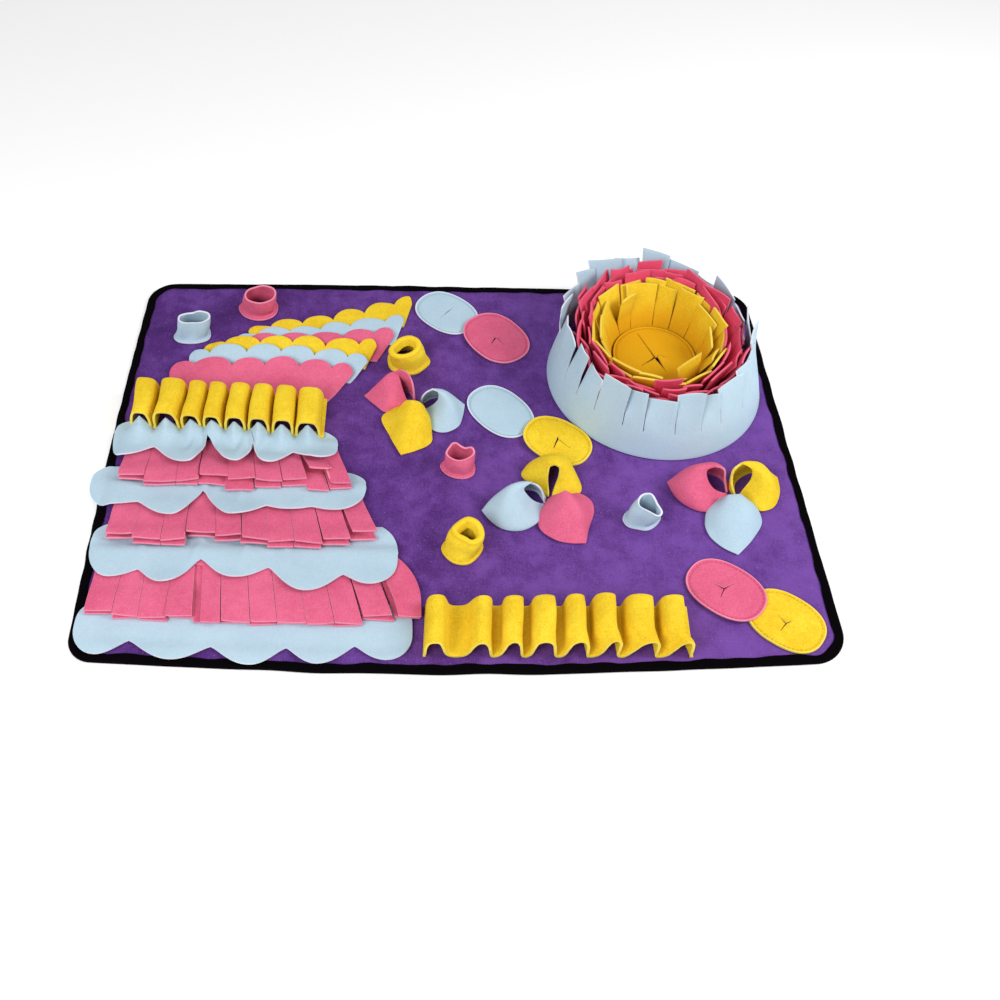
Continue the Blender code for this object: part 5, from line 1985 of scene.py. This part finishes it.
@dataclass
class Bowl:
    """An outer wall, five inner rings cut into upright tabs, and a floor disc with a cross slit."""

    wall_base: Plan = (218.0, 99.5)
    wall_rim: Plan = (213.5, 106.0)
    ring_base: Plan = (218.0, 109.0)
    ring_rim: Plan = (214.0, 112.0)
    rings: tuple = (
        Ring("bowl_wall", Felt.BLUE, 115.5, 93.5, 71.0, 0.45, 24, 1.5, 6.0, 0.10, 1.1, louvre=0.17,
             splay=24.0, splay_to=1.57, full=0.9, lows=((38, 34, 14.0), (90, 60, 11.0), (150, 30, 9.0))),
        Ring("bowl_pink_1", Felt.PINK, 74.0, 89.5, 63.0, 0.30, 19, 0.0, 4.0, 0.30, 2.2, splay=4.5),
        Ring("bowl_pink_2", Felt.PINK, 65.0, 83.0, 64.0, 0.30, 18, 0.0, 4.0, 0.12, 2.2, splay=1.0,
             splay_to=-0.5),
        Ring("bowl_pink_3", Felt.PINK, 56.0, 76.5, 64.0, 0.30, 17, 0.0, 4.0, 0.24, 1.9, splay=-2.5,
             splay_to=-0.5),
        Ring("bowl_yellow_1", Felt.YELLOW, 47.0, 70.0, 61.0, 0.36, 15, 0.0, 3.0, 0.05, 1.0),
        Ring("bowl_yellow_2", Felt.YELLOW, 38.5, 63.0, 60.0, 0.36, 14, 0.0, 3.0, 0.40, 1.1,
             bent=((120, 12.0), (-10, 7.0), (-52, 13.0))),
    )
    back_rise: float = 9.0
    pitch_wobble: float = 0.12
    gape: float = 0.2
    yaw: float = 0.17
    leaning: float = 1.6
    curling: float = 1.2
    cornering: float = 1.8
    swaying: float = 2.0
    lift: float = 0.6
    columns: int = 7
    rows: int = 24
    floor: tuple = (216.2, 108.8, 27.0)
    floor_radius: float = 44.7

    @staticmethod
    def wobble(tab: int, phase: float) -> float:
        """A value from -1 to 1 that looks irregular from tab to tab."""
        return math.sin(2.4 * tab + 11.0 * phase)

    def tab(self, ring: Ring, number: int, draw: np.random.RandomState) -> np.ndarray:
        """One tab and the stretch of base band under it.

        Args:
            ring: Which ring.
            number: Which of its tabs.
            draw: Where its irregular lean comes from.

        Returns:
            The points of the middle surface, by column across and row up.
        """
        base = self.wall_base if ring.name == "bowl_wall" else self.ring_base
        rim = self.wall_rim if ring.name == "bowl_wall" else self.ring_rim
        pitch = 2 * math.pi / ring.tabs
        before = self.wobble(number, ring.turn) * self.pitch_wobble
        after = self.wobble((number + 1) % ring.tabs, ring.turn) * self.pitch_wobble
        start = (number + ring.turn + before) * pitch
        end = (number + 1 + ring.turn + after) * pitch
        middle, half = (start + end) / 2, (end - start) / 2
        v = np.linspace(0, 1, self.rows)[None, :]
        u = np.linspace(-1, 1, self.columns)[:, None]
        free = ramp((v - ring.slit) / (1 - ring.slit))
        radius = ring.base_r + (ring.rim_r - ring.base_r) * v + ring.bow * np.sin(math.pi * v)
        twist, lean, curl, sway = draw.uniform(-1, 1, 4) * ring.chaos
        corner, tip = draw.uniform(-1, 1, 2)
        # Along the base band the sheet is round; a free tab stays flat and turns about its own middle.
        angle = middle + half * u * (1 - 0.5 * SLIT / (half * radius))
        round_x, round_y = radius * np.cos(angle), radius * np.sin(angle)
        root = ring.base_r + (ring.rim_r - ring.base_r) * ring.slit
        wider = (root - radius + max(ring.splayed(middle), 0.0)) * ring.full * free
        reach = half * (radius + wider) - SLIT / 2 - self.gape * free
        turned = (self.yaw * twist + ring.louvre) * free
        push = (ring.outward(middle, half) * free ** 1.6 + self.leaning * lean * free ** 1.5
                + self.curling * curl * free ** 2 * u ** 2
                + self.cornering * corner * free ** 3 * ramp(u * math.copysign(1, tip)) ** 2
                + u * reach * np.sin(turned))
        flat_r = radius * np.cos(half * 0.5) + push
        flat_t = u * reach * np.cos(turned) + self.swaying * sway * free ** 1.5
        flat_x = flat_r * math.cos(middle) - flat_t * math.sin(middle)
        flat_y = flat_r * math.sin(middle) + flat_t * math.cos(middle)
        stiff = ease(free * 1.6)
        x = round_x * (1 - stiff) + flat_x * stiff
        y = round_y * (1 - stiff) + flat_y * stiff
        height = ring.height - ring.dropped(middle) + self.back_rise * np.sin(angle)
        height = height + ring.uneven * free * (
            self.wobble(number, ring.turn + 0.7) + 0.2 * u + 0.35 * tip * u)
        return np.dstack([
            base[0] + (rim[0] - base[0]) * v + x, base[1] + (rim[1] - base[1]) * v + y,
            FLOOR + self.lift + v * height])

    def build_ring(self, ring: Ring) -> None:
        """One ring of tabs on its base band.

        Args:
            ring: Which ring.
        """
        draw = np.random.RandomState(7 + sum(map(ord, ring.name)))
        points = np.concatenate([self.tab(ring, number, draw) for number in range(ring.tabs)])
        keep = np.ones((len(points), self.rows - 1), bool)
        band = int(round(ring.slit * (self.rows - 1)))
        keep[self.columns - 1::self.columns, band:] = False
        sheet = Sheet(ring.name, ring.felt, points, THICKNESS[ring.felt], ring=True, keep=keep)
        declare(sheet, sheet.build())

    def build(self) -> None:
        """The rings and the floor disc."""
        for ring in self.rings:
            self.build_ring(ring)
        floor = SlitDisc(
            "bowl_floor", Felt.YELLOW, self.floor_radius, self.floor_radius, 0.0, self.floor,
            corner=(0.0, -3.5), arms=((-14.5, 34.5), (-16.5, -15.5), (9.0, -23.5), (13.0, -2.0)),
            flaps=((0, 1, 0.8), (1, 2, 0.8), (2, 3, 6.0)), seam=2.5, crease=9.0, slit=2.2, square=2.0,
            pale=0.6)
        floor.build(Hold.STRETCHED, ["bowl_yellow_2_felt"])


# The studio ----------------

@dataclass
class Lamp:
    """A square soft light that looks at the mat's middle."""

    name: str
    place: Spot
    size: float
    power: float

    def build(self) -> None:
        """Adds the light to the scene."""
        light = bpy.data.lights.new(self.name, "AREA")
        light.energy, light.size = self.power, self.size
        made = bpy.data.objects.new(self.name, light)
        made.location = self.place
        made.rotation_euler = (-Vector(self.place)).to_track_quat("-Z", "Y").to_euler()
        bpy.context.scene.collection.objects.link(made)


@dataclass
class Studio:
    """A pale floor, soft lights and a camera at the photograph's place and angle.

    The camera looks pitch below the level, yaw to the right of straight ahead, and is rolled over.
    """

    place: Spot = (-0.05516, -0.65496, 0.78480)
    pitch: float = 0.92700
    yaw: float = 0.06357
    roll: float = 0.05947
    lens: float = 35.67
    sensor: float = 36.0
    shift: float = 0.06
    nearest: float = 0.01
    floor_size: float = 6.0
    floor_drop: float = 0.0002
    floor_tone: Colour = (0.95, 0.95, 0.95)
    floor_light: Colour = (0.96, 0.96, 0.96)
    floor_glow: float = 0.14
    sky: float = 0.54
    lamps: tuple = (
        Lamp("key_light", (1.2, -0.2, 1.0), 0.6, 12.0),
        Lamp("fill_light", (-0.8, -1.0, 1.05), 0.8, 14.0),
    )

    def build_camera(self) -> None:
        """The camera at the photograph's place."""
        p, y, r = self.pitch, self.yaw, self.roll
        ahead = Vector((math.sin(y) * math.cos(p), math.cos(y) * math.cos(p), -math.sin(p)))
        right = Vector((math.cos(y), -math.sin(y), 0.0))
        up = right.cross(ahead)
        across = math.cos(r) * right + math.sin(r) * up
        over = -math.sin(r) * right + math.cos(r) * up
        stand = Matrix((across, over, -ahead)).transposed().to_4x4()
        stand.translation = Vector(self.place)
        camera = bpy.data.cameras.new("camera")
        camera.lens, camera.sensor_width = self.lens, self.sensor
        camera.shift_x, camera.clip_start = self.shift, self.nearest
        made = bpy.data.objects.new("camera", camera)
        bpy.context.scene.collection.objects.link(made)
        made.matrix_world = stand
        bpy.context.scene.camera = made

    def build_floor(self) -> None:
        """A plain pale floor under the mat."""
        half = self.floor_size / 2
        mesh = bpy.data.meshes.new("floor")
        corners = ((-half, -half), (half, -half), (half, half), (-half, half))
        mesh.from_pydata([(x, y, -self.floor_drop) for x, y in corners], [], [(0, 1, 2, 3)])
        graph = Graph("floor_paper")
        speckle = graph.noise(graph.place(), 400.0, 2.0)
        graph.set(Base_Color=graph.blend(speckle, self.floor_tone, self.floor_light), Roughness=0.9,
                  Specular_IOR_Level=0.1, Emission_Color=(1.0, 1.0, 1.0), Emission_Strength=self.floor_glow)
        mesh.materials.append(graph.material)
        floor = bpy.data.objects.new("floor", mesh)
        bpy.context.scene.collection.objects.link(floor)

    def build(self) -> None:
        """Everything that isn't the mat."""
        self.build_camera()
        self.build_floor()
        for lamp in self.lamps:
            lamp.build()
        world = bpy.data.worlds.new("studio")
        world.use_nodes = True
        background = world.node_tree.nodes["Background"]
        background.inputs["Color"].default_value = (1.0, 1.0, 1.0, 1.0)
        background.inputs["Strength"].default_value = self.sky
        bpy.context.scene.world = world
        bpy.context.scene.view_settings.view_transform = "Standard"


def main() -> None:
    logging.basicConfig(level=logging.INFO, format="%(name)s: %(message)s")
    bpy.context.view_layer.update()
    mat = BaseMat()
    pile = Pile(mat)
    steps: list[tuple[str, Callable[[], None]]] = [
        ("studio", Studio().build), ("mat and binding", mat.build), ("skirt", Skirt(pile).build),
        ("fan", Fan(pile).build)]
    steps += [(strip.name, strip.build) for strip in LOOP_STRIPS]
    steps += [("cups", Cups().build), ("discs", Discs().build), ("petals", Petals().build),
              ("bowl", Bowl().build)]
    for name, build in steps:
        build()
        LOG.info("built %s", name)


if __name__ == "__main__":
    main()
